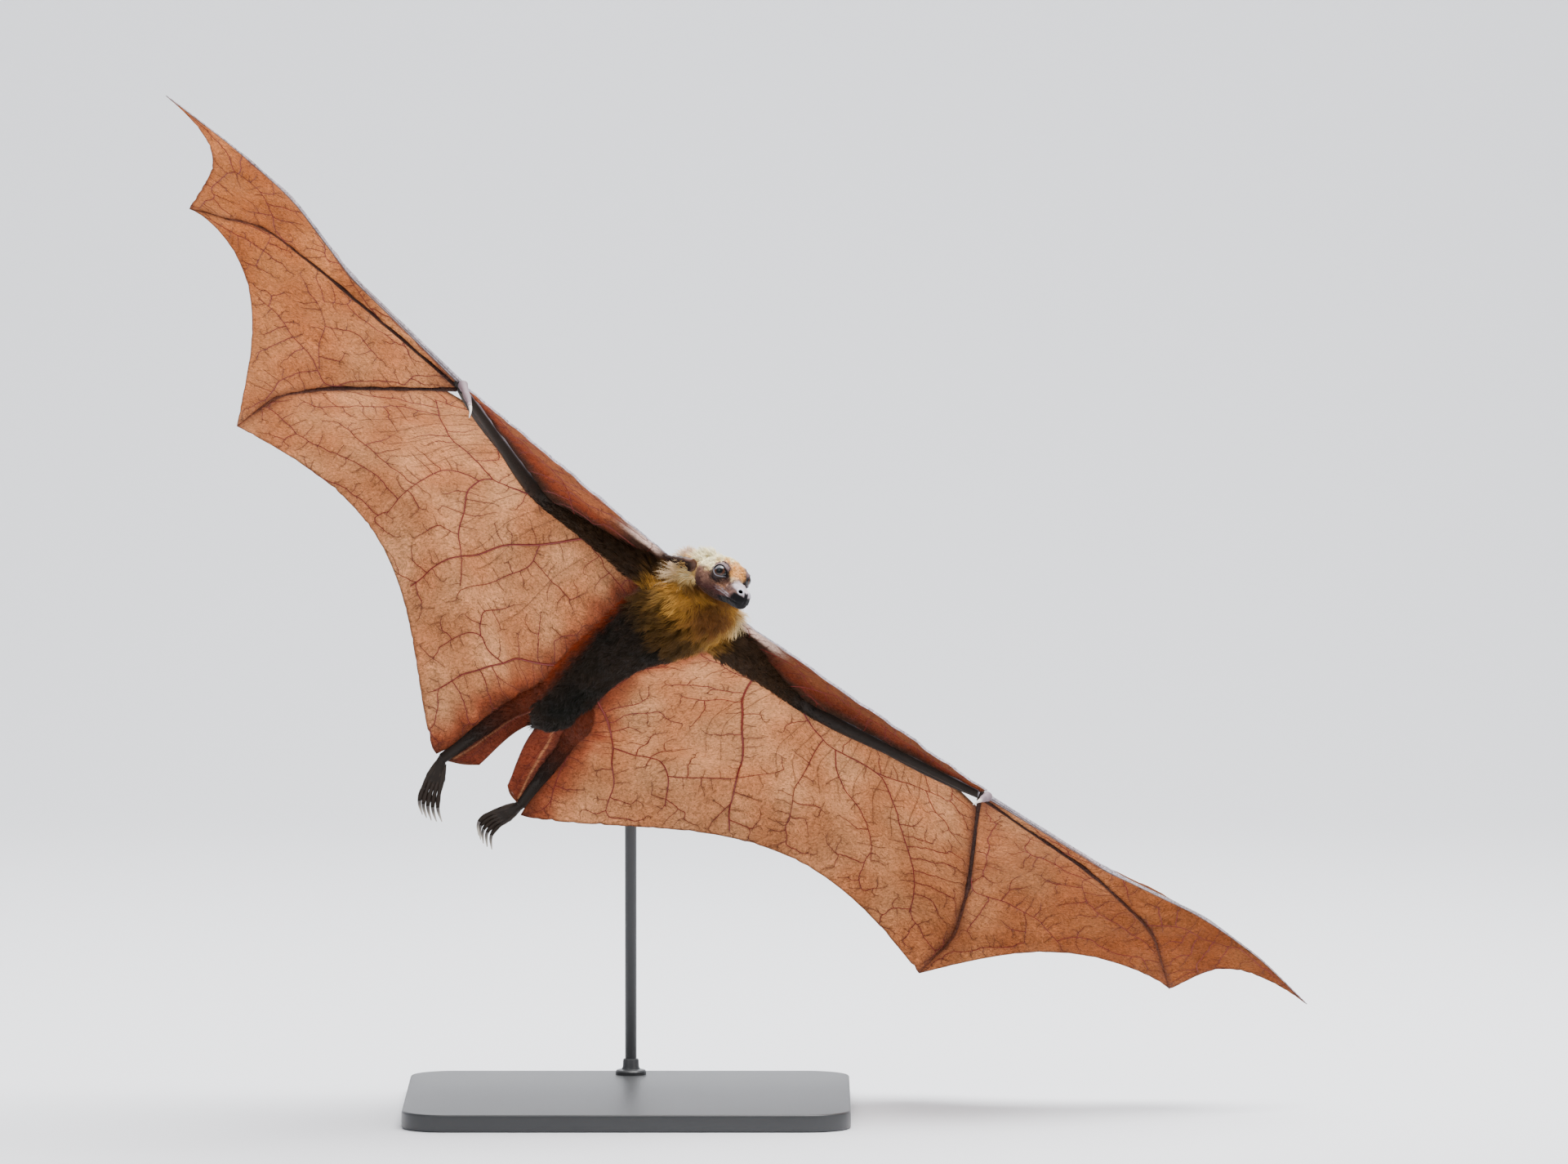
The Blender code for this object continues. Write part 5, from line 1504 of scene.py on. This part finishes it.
def coat_on(grid, colour, rows, density, lock, stray, count, seed, rings, long, wide, lift, curl):
    """Tufts on some rows of a grid, gathered into locks of about this size in mm that turn and curl together.

    long, wide, lift and curl are numbers, or arrays with a value for each point of the grid, as density is.
    """
    rng = np.random.default_rng(seed)
    area, density, colour = (a[rows[0] : rows[1]] for a in (grid, density, colour))
    fields = [np.broadcast_to(f, grid.shape[:2])[rows[0] : rows[1]] for f in (long, wide, lift, curl)]
    normal_grid = outward(grid)[rows[0] : rows[1]]
    lie_grid = unit(np.gradient(grid, axis=0))[rows[0] : rows[1]]
    lie_grid = lie_grid + np.cross(normal_grid, lie_grid) * (noise(area, 14, seed + 50) * stray)[..., None]
    r, c = scattered(area, density, count, rng)
    root, normal, lie, paint = (sampled(a, r, c) for a in (area, normal_grid, lie_grid, colour))
    pull, (lean, bright, height, start, speed) = locks_of(area, lock, r, c, rng)
    normal = unit(normal)
    turned = (stray * 1.6 * (lean - 0.5) + rng.normal(0, 0.10, count))[:, None]
    lie = unit(lie) + np.cross(normal, unit(lie)) * turned
    lie = unit(lie - normal * (lie * normal).sum(-1, keepdims=True))
    pull = (pull - lie * (pull * lie).sum(-1, keepdims=True) * 0.5) * rng.uniform(0.5, 0.9, (count, 1))
    pull *= np.linalg.norm(pull, axis=-1, keepdims=True) < 2 * lock
    long, wide, lift, curl = (sampled(f, r, c) * rng.uniform(0.8, 1.2, count) for f in fields)
    share = tuft_shares(rings)
    turn, phase = (3.5 + 3 * speed)[:, None, None], (6.28 * start + rng.normal(0, 0.3, count))[:, None, None]
    curl = curl[:, None, None] * share
    sway = curl * (np.sin(phase + turn * share) - np.sin(phase)), 0.5 * curl * np.cos(phase + turn * share)
    place = np.stack([0.004 + 0.988 * r / (len(area) - 1), 0.004 + 0.986 * c / area.shape[1]], -1)
    parts = Parts()
    paint = paint * (0.82 + 0.36 * bright)[:, None]
    lift = lift * (0.75 + 0.4 * height)
    add_tufts(parts, rng, root, normal, lie, long, wide, lift, sway, pull, paint, place, rings)
    return parts


def hair_growth(body):
    """How dense the hair is at each point of the body: on the head, and round the ears' roots alone."""
    head = to_head(body)
    x, _, z = np.moveaxis(head, -1, 0)
    haired = ease(33, 29, x) * (1 - ease(16, 20, x) * ease(-5.0, -6.6, z))
    clear = np.ones(x.shape)
    for side in SIDES:
        high, ahead, above = lid_at(head, side)
        haired = haired * np.where(high > -3, ease(5.9, 7.2, np.hypot(ahead, above)), 1)
        clear = clear * ease(4.5, 8.0, ear_distance(head, side))
    return np.maximum(haired * clear, BALD), np.maximum(clear, BALD)


def body_coats(longer, number):
    """Name, slot and tufts of each piece of the coat over head, neck and trunk.

    The head has one layer of fine tufts. The rest has long locks over a dense layer of short underfur.
    """
    body, depth, neck = body_grid()
    colour = coat_colour(body)
    haired, clear = hair_growth(body)
    full = np.ones(body.shape[:2])
    x, _, z = np.moveaxis(to_head(body), -1, 0)
    coat = depth[:, None] * full
    face = np.interp(x, (-17, -8, 0, 10, 20, 32), (6.5, 4.6, 3.4, 2.4, 1.7, 1.1)) * longer
    fine = np.interp(x, (-17, 0, 10, 30), (0.6, 0.42, 0.30, 0.24))
    tuft = 4.0 * nape_share(body)
    low = coat * (0.75 * (1 - 0.7 * ease(3, 10, z) * ease(-48, -24, x))) + tuft
    # Name, rows, count, density, lock and stray; then length, width, lift and curl.
    for seed, (name, rows, count, growth, long, lift, curl) in enumerate((
        ("coat_face", (4, neck // 2 + 8), 19000, (haired, 1.6, 0.2), face, coat * 0.7, 0.05),
        ("coat_crown", (neck // 2, neck), 19000, (haired, 3.0, 0.15), face, coat * 0.55, 0.1),
        ("coat_neck", (neck - 6, neck + 40), 12000, (clear, 4.5, 0.5), 10.0, low, 1.9),
        ("coat_chest", (neck + 30, neck + 70), 12000, (full, 5.0, 0.35), 10.5, coat * 0.85 + tuft, 1.2),
        ("coat_back", (neck + 64, neck + 106), 12000, (full, 5.0, 0.25), 10.0, coat * 0.95, 0.5),
        ("coat_rump", (neck + 100, len(body)), 10000, (full, 4.5, 0.25), 8.5, coat * 0.9, 0.4),
    )):
        rows = rows[0], min(rows[1], len(body))
        area = body, colour, rows, *growth
        if name in ("coat_face", "coat_crown"):
            yield name, "face", coat_on(*area, int(count * number), seed + 10, 2, long, fine, lift, curl)
            continue
        long = long * longer
        locks, fur = int(LOCKS * count * number), int(UNDERFUR * count * number)
        parts = coat_on(*area, locks, seed + 10, 3, long, TUFT_WIDTH, lift, curl)
        long, lift = UNDERFUR_LENGTH * long, UNDERFUR_LIFT * lift
        under = coat_on(*area, fur, seed + 20, 1, long, UNDERFUR_WIDTH, lift, 0)
        parts.add_all(under, (0, 0), 1)
        yield name, "golden_coat", parts


def limb_coats(longer, number):
    """Name, slot and tufts of the coats of arms and legs, both sides in one piece."""
    for name, path_of, grid_of, colour_of, depths, seed in (
        ("coat_arms", arm, arm_grid, arm_colour, ARM_COAT, 30),
        ("coat_legs", leg, leg_grid, leg_colour, LEG_COAT, 40),
    ):
        gathered = Parts()
        for side in SIDES:
            grid = grid_of(side)
            shares = path_of(side)[1]
            at = np.linspace(shares[0], shares[-1], len(grid))
            depth = np.maximum(spline(shares, depths, at), 0)[:, None] * np.ones(grid.shape[1])
            density = np.maximum(ease(0.1, 1.4, depth), BALD)
            area = grid, colour_of(grid), (2, len(grid) - 2), density, 4.0, 0.25
            count, long = int(LIMB_TUFTS * number), (2.5 + 1.7 * depth) * longer
            tufted = coat_on(*area, count, seed, 2, long, TUFT_WIDTH, depth * 0.9, 0.25)
            gathered.add_all(tufted, (0, 0) if side == "left" else (0, 0.5), (1, 0.5))
        yield name, "dark_coat", gathered


# ---- the display stand -----------------------------------------------------------------------


def plate_grid(size, corner, bevel):
    """Rings of a rounded rectangle from under the plate to its top, stepping in round the bevels."""
    wide, deep, high = size
    turn = np.linspace(0, 2 * math.pi, 96, endpoint=False)
    x, y = np.sign(np.cos(turn)) * (wide / 2 - corner), np.sign(np.sin(turn)) * (deep / 2 - corner)
    rise, run = np.sin(np.linspace(0, math.pi / 2, 6)), np.cos(np.linspace(0, math.pi / 2, 6))
    inset = bevel * (1 - np.concatenate([rise, run]))
    height = np.concatenate([bevel * (1 - run), high - bevel * (1 - rise)])
    r = corner - inset[:, None]
    return np.stack([x + r * np.cos(turn), y + r * np.sin(turn), height[:, None] + 0 * r * turn], -1)


def lathed(profile, x, y, z, count=48):
    """A round piece about a vertical axis from (radius, height) pairs, its heights counted from z."""
    turn = np.linspace(0, 2 * math.pi, count, endpoint=False)
    ring = np.stack([np.cos(turn), np.sin(turn), 0 * turn], -1)
    return np.array([np.array([x, y, z + height]) + radius * ring for radius, height in profile])


def stand_parts(corner, bevel):
    """The plate, the rod that rises behind the wings and bends forward to the back, and its foot collar."""
    parts, places = Parts(), cells(4)
    low, high = np.array(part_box("stand_base")) / MM
    x, z = ROD_ON_TRUNK
    top = in_world((x, z, trunk_at(x, 2) + trunk_at(x, 4) - 6)) / MM
    foot = np.array([top[0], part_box("stand_rod")[1][1] / MM - ROD_RADIUS, high[2]])
    path = rounded([top, np.array([top[0], foot[1], top[2]]), foot], 30, 24)
    for grid in (
        plate_grid(high - low, corner, bevel),
        limb(path, np.linspace(0, 1, 3), np.full(3, ROD_RADIUS), 160, 32),
        lathed(COLLAR, *foot),
    ):
        parts.add_tube((grid * MM - SHOULDERS) @ BANK / MM, places.pop(), np.ones(3))
    return parts


# ---- materials -------------------------------------------------------------------------------


def put(tree, kind, inputs=(), **settings):
    """A new node: settings are its properties; inputs, by number or name, are set or linked."""
    made = tree.nodes.new("ShaderNode" + kind)
    for name, value in settings.items():
        setattr(made, name, value)
    for key, value in dict(inputs).items():
        if isinstance(value, bpy.types.NodeSocket):
            tree.links.new(value, made.inputs[key])
        else:
            made.inputs[key].default_value = value
    return made


def sum_of(tree, first, second, share):
    """first + second * share, as a node's output."""
    return maths(tree, "MULTIPLY_ADD", second, share, first)


def maths(tree, operation, *values):
    """A sum of this kind over values or sockets, as a node's output."""
    return put(tree, "Math", dict(enumerate(values)), operation=operation).outputs[0]


def ranged(tree, value, low, high, first=0.0, last=1.0):
    """A value's place between low and high, as a share of the way from first to last."""
    ends = {"Value": value, "From Min": low, "From Max": high, "To Min": first, "To Max": last}
    return put(tree, "MapRange", ends).outputs[0]


def waves(tree, place, scale, detail, bend=0.0):
    """A noise's value, as a node's output."""
    inputs = {"Vector": place, "Scale": scale, "Detail": detail, "Distortion": bend}
    return put(tree, "TexNoise", inputs).outputs["Fac"]


def edges(tree, place, scale):
    """The distance to the nearest edge between the cells of a pattern, as a node's output."""
    inputs = {"Vector": place, "Scale": scale}
    return put(tree, "TexVoronoi", inputs, feature="DISTANCE_TO_EDGE").outputs["Distance"]


def new_group(name, inputs):
    """A node group with number inputs and their defaults, and outputs Height and Tone."""
    if name in bpy.data.node_groups:
        return bpy.data.node_groups[name], None, None
    tree = bpy.data.node_groups.new(name, "ShaderNodeTree")
    for label, value in inputs:
        socket = tree.interface.new_socket(label, in_out="INPUT", socket_type="NodeSocketFloat")
        socket.default_value = value
    for label in ("Height", "Tone"):
        tree.interface.new_socket(label, in_out="OUTPUT", socket_type="NodeSocketFloat")
    return tree, tree.nodes.new("NodeGroupInput"), tree.nodes.new("NodeGroupOutput")


def leather():
    """Fine wrinkled skin: cells within cells, and a slow mottle. Sizes are cells to the metre."""
    tree, given, out = new_group("leather", (("Cells", 700.0), ("Mottle", 90.0)))
    if given is None:
        return tree
    place = put(tree, "TexCoord").outputs["Object"]
    pores = edges(tree, place, given.outputs["Cells"])
    fine = waves(tree, place, given.outputs["Cells"], 4.0)
    slow = waves(tree, place, given.outputs["Mottle"], 3.0)
    height = maths(tree, "MINIMUM", pores, 0.25)
    tree.links.new(sum_of(tree, height, fine, 0.5), out.inputs["Height"])
    tree.links.new(slow, out.inputs["Tone"])
    return tree


def ridges(tree, place, scale, detail, bend):
    """Sharp bright ridges where a noise passes through its middle value."""
    away = maths(tree, "SUBTRACT", waves(tree, place, scale, detail, bend), 0.5)
    return ranged(tree, maths(tree, "ABSOLUTE", away), 0.0, 0.05, 1.0, 0.0)


def crinkle():
    """A membrane's crumpled skin: fine creases in two directions with painted glints along them, and a net of
    thin dark lines.
    """
    tree, given, out = new_group("crinkle", (("Folds", 330.0), ("Net", 220.0)))
    if given is None:
        return tree
    place = put(tree, "TexCoord").outputs["Object"]
    bent = put(tree, "TexNoise", {"Vector": place, "Scale": 45.0, "Detail": 2.0}).outputs["Color"]
    inputs = {0: bent, 1: (0.010, 0.010, 0.010), 2: place}
    moved = put(tree, "VectorMath", inputs, operation="MULTIPLY_ADD").outputs[0]
    first, second = (
        put(tree, "Mapping", {"Vector": moved, "Rotation": turn, "Scale": size}).outputs[0]
        for turn, size in (((0.2, 0.5, 0.3), (1.0, 1.0, 0.6)), ((0.1, -0.9, 0.6), (0.65, 1.0, 1.0)))
    )
    creases = [ridges(tree, way, given.outputs["Folds"], 2.0, 0.6) for way in (first, second)]
    creases = maths(tree, "MAXIMUM", *creases)
    grain = ranged(tree, waves(tree, second, 800.0, 2.0), 0.36, 0.64)
    shown = ranged(tree, waves(tree, place, 28.0, 3.0), 0.35, 0.65)
    # painted glints: the creases brighten the colour as if catching the light
    bright = maths(tree, "MULTIPLY", creases, shown)
    line = ranged(tree, edges(tree, moved, given.outputs["Net"]), 0.0, 0.07)
    tone = sum_of(tree, maths(tree, "MULTIPLY", line, 0.22), bright, 0.5)
    tone = sum_of(tree, tone, grain, 0.35)
    tree.links.new(sum_of(tree, creases, grain, 0.6), out.inputs["Height"])
    tree.links.new(tone, out.inputs["Tone"])
    return tree


def finish_of(name, roughness, group=None, values=(), bump=0.3, depth=0.0003, dark=0.25, constants=()):
    """A material whose base colour is the marking, varied by a group's Tone and raised by its Height."""
    made = bpy.data.materials.new(name)
    made.use_nodes = True
    tree = made.node_tree
    shader = tree.nodes["Principled BSDF"]
    for key, value in (("Roughness", roughness), *constants):
        shader.inputs[key].default_value = value
    colour = put(tree, "Attribute", attribute_name="marking").outputs["Color"]
    if group:
        effect = put(tree, "Group", (), node_tree=group)
        for key, value in values:
            effect.inputs[key].default_value = value
        share = ranged(tree, effect.outputs["Tone"], 0.0, 1.0, 1 - dark, 1 + dark)
        colour = put(tree, "VectorMath", {0: colour, "Scale": share}, operation="SCALE").outputs[0]
        bumps = {"Height": effect.outputs["Height"], "Strength": bump, "Distance": depth}
        tree.links.new(put(tree, "Bump", bumps).outputs[0], shader.inputs["Normal"])
    tree.links.new(colour, shader.inputs["Base Color"])
    return made


def wing_finish():
    """Thin skin lit from behind. Light passes both faces, so each takes the square root of the colour."""
    shine = (("Specular IOR Level", 0.2),)
    made = finish_of("wing skin", 0.45, crinkle(), bump=0.7, depth=0.0006, dark=0.75, constants=shine)
    tree = made.node_tree
    shader = tree.nodes["Principled BSDF"]
    colour, normal = (shader.inputs[key].links[0].from_socket for key in ("Base Color", "Normal"))
    half = put(tree, "Gamma", {"Color": colour, "Gamma": 0.5}).outputs[0]
    through = put(tree, "BsdfTranslucent", {"Color": half, "Normal": normal})
    both = put(tree, "MixShader", {0: 0.66, 1: shader.outputs[0], 2: through.outputs[0]})
    tree.links.new(both.outputs[0], tree.nodes["Material Output"].inputs["Surface"])
    return made


def coat_finish():
    """Hair: streaks of light and dark, a soft shine."""
    values, shine = (("Cells", 1600.0), ("Mottle", 260.0)), (("Specular IOR Level", 0.12),)
    raised = {"bump": 0.15, "depth": 0.0002, "dark": 0.22}
    return finish_of("coat hair", 0.55, leather(), values, constants=shine, **raised)


def steel_finish(colour):
    """Satin paint with a faint orange-peel surface."""
    values = (("Cells", 900.0), ("Mottle", 30.0))
    made = finish_of("painted steel", 0.38, leather(), values, bump=0.08, depth=0.0002, dark=0.06)
    tree = made.node_tree
    base = tree.nodes["Principled BSDF"].inputs["Base Color"]
    inputs = {0: base.links[0].from_socket, 1: tuple(colour)}
    tree.links.new(put(tree, "VectorMath", inputs, operation="MULTIPLY").outputs[0], base)
    return made


# ---- the operators ---------------------------------------------------------------------------


class FoxSizes(bpy.types.PropertyGroup):
    """The sizes and colours that a user would change."""

    wing_thickness: bpy.props.FloatProperty(
        name="Wing thickness",
        description="Thickness of the membranes",
        default=0.0006,
        min=0.0002,
        unit="LENGTH",
    )
    vessel_spacing: bpy.props.FloatProperty(
        name="Vessel spacing",
        description="Room between neighbouring small vessels",
        default=0.0055,
        min=0.004,
        unit="LENGTH",
    )
    coat_length: bpy.props.FloatProperty(
        name="Coat length",
        description="Length of every tuft, as a share of the real one",
        default=1.0,
        min=0.3,
        max=1.5,
    )
    coat_count: bpy.props.FloatProperty(
        name="Coat density",
        description="Number of tufts, as a share of the full coat",
        default=1.0,
        min=0.05,
        max=1.2,
    )
    plate_corner: bpy.props.FloatProperty(
        name="Plate corner",
        description="Radius of the plate's corners",
        default=0.030,
        min=0.005,
        unit="LENGTH",
    )
    plate_bevel: bpy.props.FloatProperty(
        name="Plate bevel",
        description="Radius of the plate's edges",
        default=0.0016,
        min=0.0004,
        unit="LENGTH",
    )
    steel_colour: bpy.props.FloatVectorProperty(
        name="Stand colour",
        description="Paint of the stand",
        default=(0.035, 0.036, 0.038),
        subtype="COLOR",
        min=0,
        max=1,
    )
    floor_colour: bpy.props.FloatVectorProperty(
        name="Floor colour",
        description="Colour of floor and backdrop",
        default=(0.86, 0.87, 0.90),
        subtype="COLOR",
        min=0,
        max=1,
    )


def both_sides(names):
    """The names of the nodes of this kind on the left and on the right."""
    return [f"{name}_{side}" for side in SIDES for name in names]


class FOX_OT_skin(bpy.types.Operator):
    """Body, head, ears, limbs and feet in one skin, in place of the solids of flesh."""

    bl_idname = "fox.skin"
    bl_label = "Skin"

    def execute(self, context):
        """Builds the skin."""
        shine = (("Specular IOR Level", 0.14),)
        finish = finish_of("bare skin", 0.5, leather(), bump=0.45, dark=0.2, constants=shine)
        made = skin_parts().piece("bat_skin", finish)
        flesh = ("ear", "upper_arm", "forearm", "hand", "thumb", "thigh", "shin", "foot")
        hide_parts("trunk", "neck", "head", *both_sides(flesh))
        return {"FINISHED"}


class FOX_OT_eyes(bpy.types.Operator):
    """The two eyeballs with iris, pupil and a clear cornea."""

    bl_idname = "fox.eyes"
    bl_label = "Eyes"

    def execute(self, context):
        """Builds the eyes."""
        shine = (("Coat Weight", 0.6), ("Coat Roughness", 0.03), ("Specular IOR Level", 0.15))
        made = eye_parts().piece("eyes", finish_of("eye", 0.12, constants=shine))
        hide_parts("eye_left", "eye_right")
        return {"FINISHED"}


class FOX_OT_claws(bpy.types.Operator):
    """The claws of thumbs and toes."""

    bl_idname = "fox.claws"
    bl_label = "Claws"

    def execute(self, context):
        """Builds the claws."""
        values = (("Cells", 500.0), ("Mottle", 400.0))
        made = claw_parts().piece("claws", finish_of("horn", 0.3, leather(), values, bump=0.1, dark=0.15))
        return {"FINISHED"}


class FOX_OT_wings(bpy.types.Operator):
    """The ten membranes with their fingers and heel spurs."""

    bl_idname = "fox.wings"
    bl_label = "Wings"

    def execute(self, context):
        """Builds the wings."""
        made = wing_parts(context.scene.fox.wing_thickness / MM).piece("wing_skin", wing_finish())
        hand_skins = [row[0] for row in HAND_MEMBRANES["left"]]
        body_skins = ["propatagium", "plagiopatagium", "uropatagium", "heel_spur"]
        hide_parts(*both_sides([*body_skins, *FINGERS, *hand_skins]))
        return {"FINISHED"}


class FOX_OT_vessels(bpy.types.Operator):
    """The blood vessels that stand out on both faces of the membranes."""

    bl_idname = "fox.vessels"
    bl_label = "Vessels"

    def execute(self, context):
        """Builds the vessels of each wing."""
        sizes = context.scene.fox
        finish = finish_of("vessels", 0.45)
        half_sheet, spacing = sizes.wing_thickness / MM / 2, sizes.vessel_spacing / MM
        for side in SIDES:
            parts = Parts()
            for number, (name, grid) in enumerate(wing_sheets(side).items()):
                corner = np.array([0.02 + 0.2 * number, 0.02])
                add_vessels(parts, side, name, grid, half_sheet, spacing, number + 60, corner)
            parts.piece(f"vessels_{side}", finish)
        return {"FINISHED"}


class FOX_OT_coat(bpy.types.Operator):
    """The coat: tufts over head, neck, chest, back, belly, arms and legs."""

    bl_idname = "fox.coat"
    bl_label = "Coat"

    def execute(self, context):
        """Builds the coat's pieces."""
        sizes = context.scene.fox
        hair = coat_finish()
        for coats_of in (body_coats, limb_coats):
            for name, slot, parts in coats_of(sizes.coat_length, sizes.coat_count):
                parts.piece(name, hair)
        return {"FINISHED"}


class FOX_OT_stand(bpy.types.Operator):
    """The display stand: plate, rod and foot collar."""

    bl_idname = "fox.stand"
    bl_label = "Stand"

    def execute(self, context):
        """Builds the stand."""
        sizes = context.scene.fox
        parts = stand_parts(sizes.plate_corner / MM, sizes.plate_bevel / MM)
        made = parts.piece("stand", steel_finish(sizes.steel_colour))
        made.data.set_sharp_from_angle(angle=math.radians(35))
        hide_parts("stand_base", "stand_rod")
        return {"FINISHED"}


class FOX_OT_stage(bpy.types.Operator):
    """Floor, backdrop, studio lights and camera."""

    bl_idname = "fox.stage"
    bl_label = "Stage"

    def execute(self, context):
        """Builds the stage."""
        scene = context.scene
        turn = np.linspace(0, math.pi / 2, 16)
        bend = [(2.2 + 0.8 * math.sin(a), 0.8 - 0.8 * math.cos(a)) for a in turn]
        profile = [(-6.0, 0.0), *bend, (3.0, 6.0)]
        points = [(x, y, z) for y, z in profile for x in (-6.0, 6.0)]
        faces = [(2 * i, 2 * i + 1, 2 * i + 3, 2 * i + 2) for i in range(len(profile) - 1)]
        mesh = bpy.data.meshes.new("floor")
        mesh.from_pydata(points, [], faces)
        mesh.shade_smooth()
        paper = bpy.data.materials.new("paper")
        paper.use_nodes = True
        colour = (*scene.fox.floor_colour, 1)
        paper.node_tree.nodes["Principled BSDF"].inputs["Base Color"].default_value = colour
        paper.node_tree.nodes["Principled BSDF"].inputs["Roughness"].default_value = 0.9
        mesh.materials.append(paper)
        floor = bpy.data.objects.new("floor", mesh)
        scene.collection.objects.link(floor)
        floor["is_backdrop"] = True
        for name, place, size, power in (
            ("back light", (0.1, 1.5, 2.3), 2.2, 64),
            ("front light", (-2.2, -2.5, 2.9), 2.0, 22),
            ("side light", (2.6, -1.6, 1.4), 1.6, 10),
            ("top light", (0.5, -0.1, 2.6), 2.0, 165),
        ):
            light = bpy.data.lights.new(name, "AREA")
            light.shape = "DISK"
            light.size = size
            light.energy = power
            lamp = bpy.data.objects.new(name, light)
            lamp.location = place
            lamp.rotation_euler = (Vector((0, 0, 0.36)) - lamp.location).to_track_quat("-Z", "Y").to_euler()
            scene.collection.objects.link(lamp)
        world = bpy.data.worlds.new("studio")
        world.use_nodes = True
        world.node_tree.nodes["Background"].inputs["Color"].default_value = (0.93, 0.95, 1.0, 1)
        world.node_tree.nodes["Background"].inputs["Strength"].default_value = 0.48
        scene.world = world
        lens = bpy.data.cameras.new("camera")
        lens.lens = 310
        lens.sensor_width = 36
        lens.clip_end = 40
        camera = bpy.data.objects.new("camera", lens)
        camera.location = (0.1053, -9.074, 0.992)
        camera.rotation_euler = (math.radians(86), 0, 0)
        scene.collection.objects.link(camera)
        scene.camera = camera
        return {"FINISHED"}


OPERATORS = (
    FOX_OT_stage,
    FOX_OT_skin,
    FOX_OT_eyes,
    FOX_OT_claws,
    FOX_OT_wings,
    FOX_OT_vessels,
    FOX_OT_coat,
    FOX_OT_stand,
)


class FOX_PT_panel(bpy.types.Panel):
    """Lists the sizes and the operators."""

    bl_idname = "FOX_PT_panel"
    bl_label = "Flying fox"
    bl_space_type = "VIEW_3D"
    bl_region_type = "UI"
    bl_category = "Flying fox"

    def draw(self, context):
        """Draws the panel."""
        for name in FoxSizes.__annotations__:
            self.layout.prop(context.scene.fox, name)
        for operator in OPERATORS:
            self.layout.operator(operator.bl_idname)


def register():
    """Registers the classes and the scene's settings."""
    for one in (FoxSizes, *OPERATORS, FOX_PT_panel):
        bpy.utils.register_class(one)
    bpy.types.Scene.fox = bpy.props.PointerProperty(type=FoxSizes)


def unregister():
    """Takes the classes and settings away again."""
    del bpy.types.Scene.fox
    for one in (FOX_PT_panel, *OPERATORS[::-1], FoxSizes):
        bpy.utils.unregister_class(one)


def main():
    """Builds every piece."""
    register()
    for operator in OPERATORS:
        group, name = operator.bl_idname.split(".")
        getattr(getattr(bpy.ops, group), name)()
    boxes = {"cad": CAD_BOX, "visual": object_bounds()}
    {key: [list(corner) for corner in box] for key, box in boxes.items()}


if __name__ == "__main__":
    main()
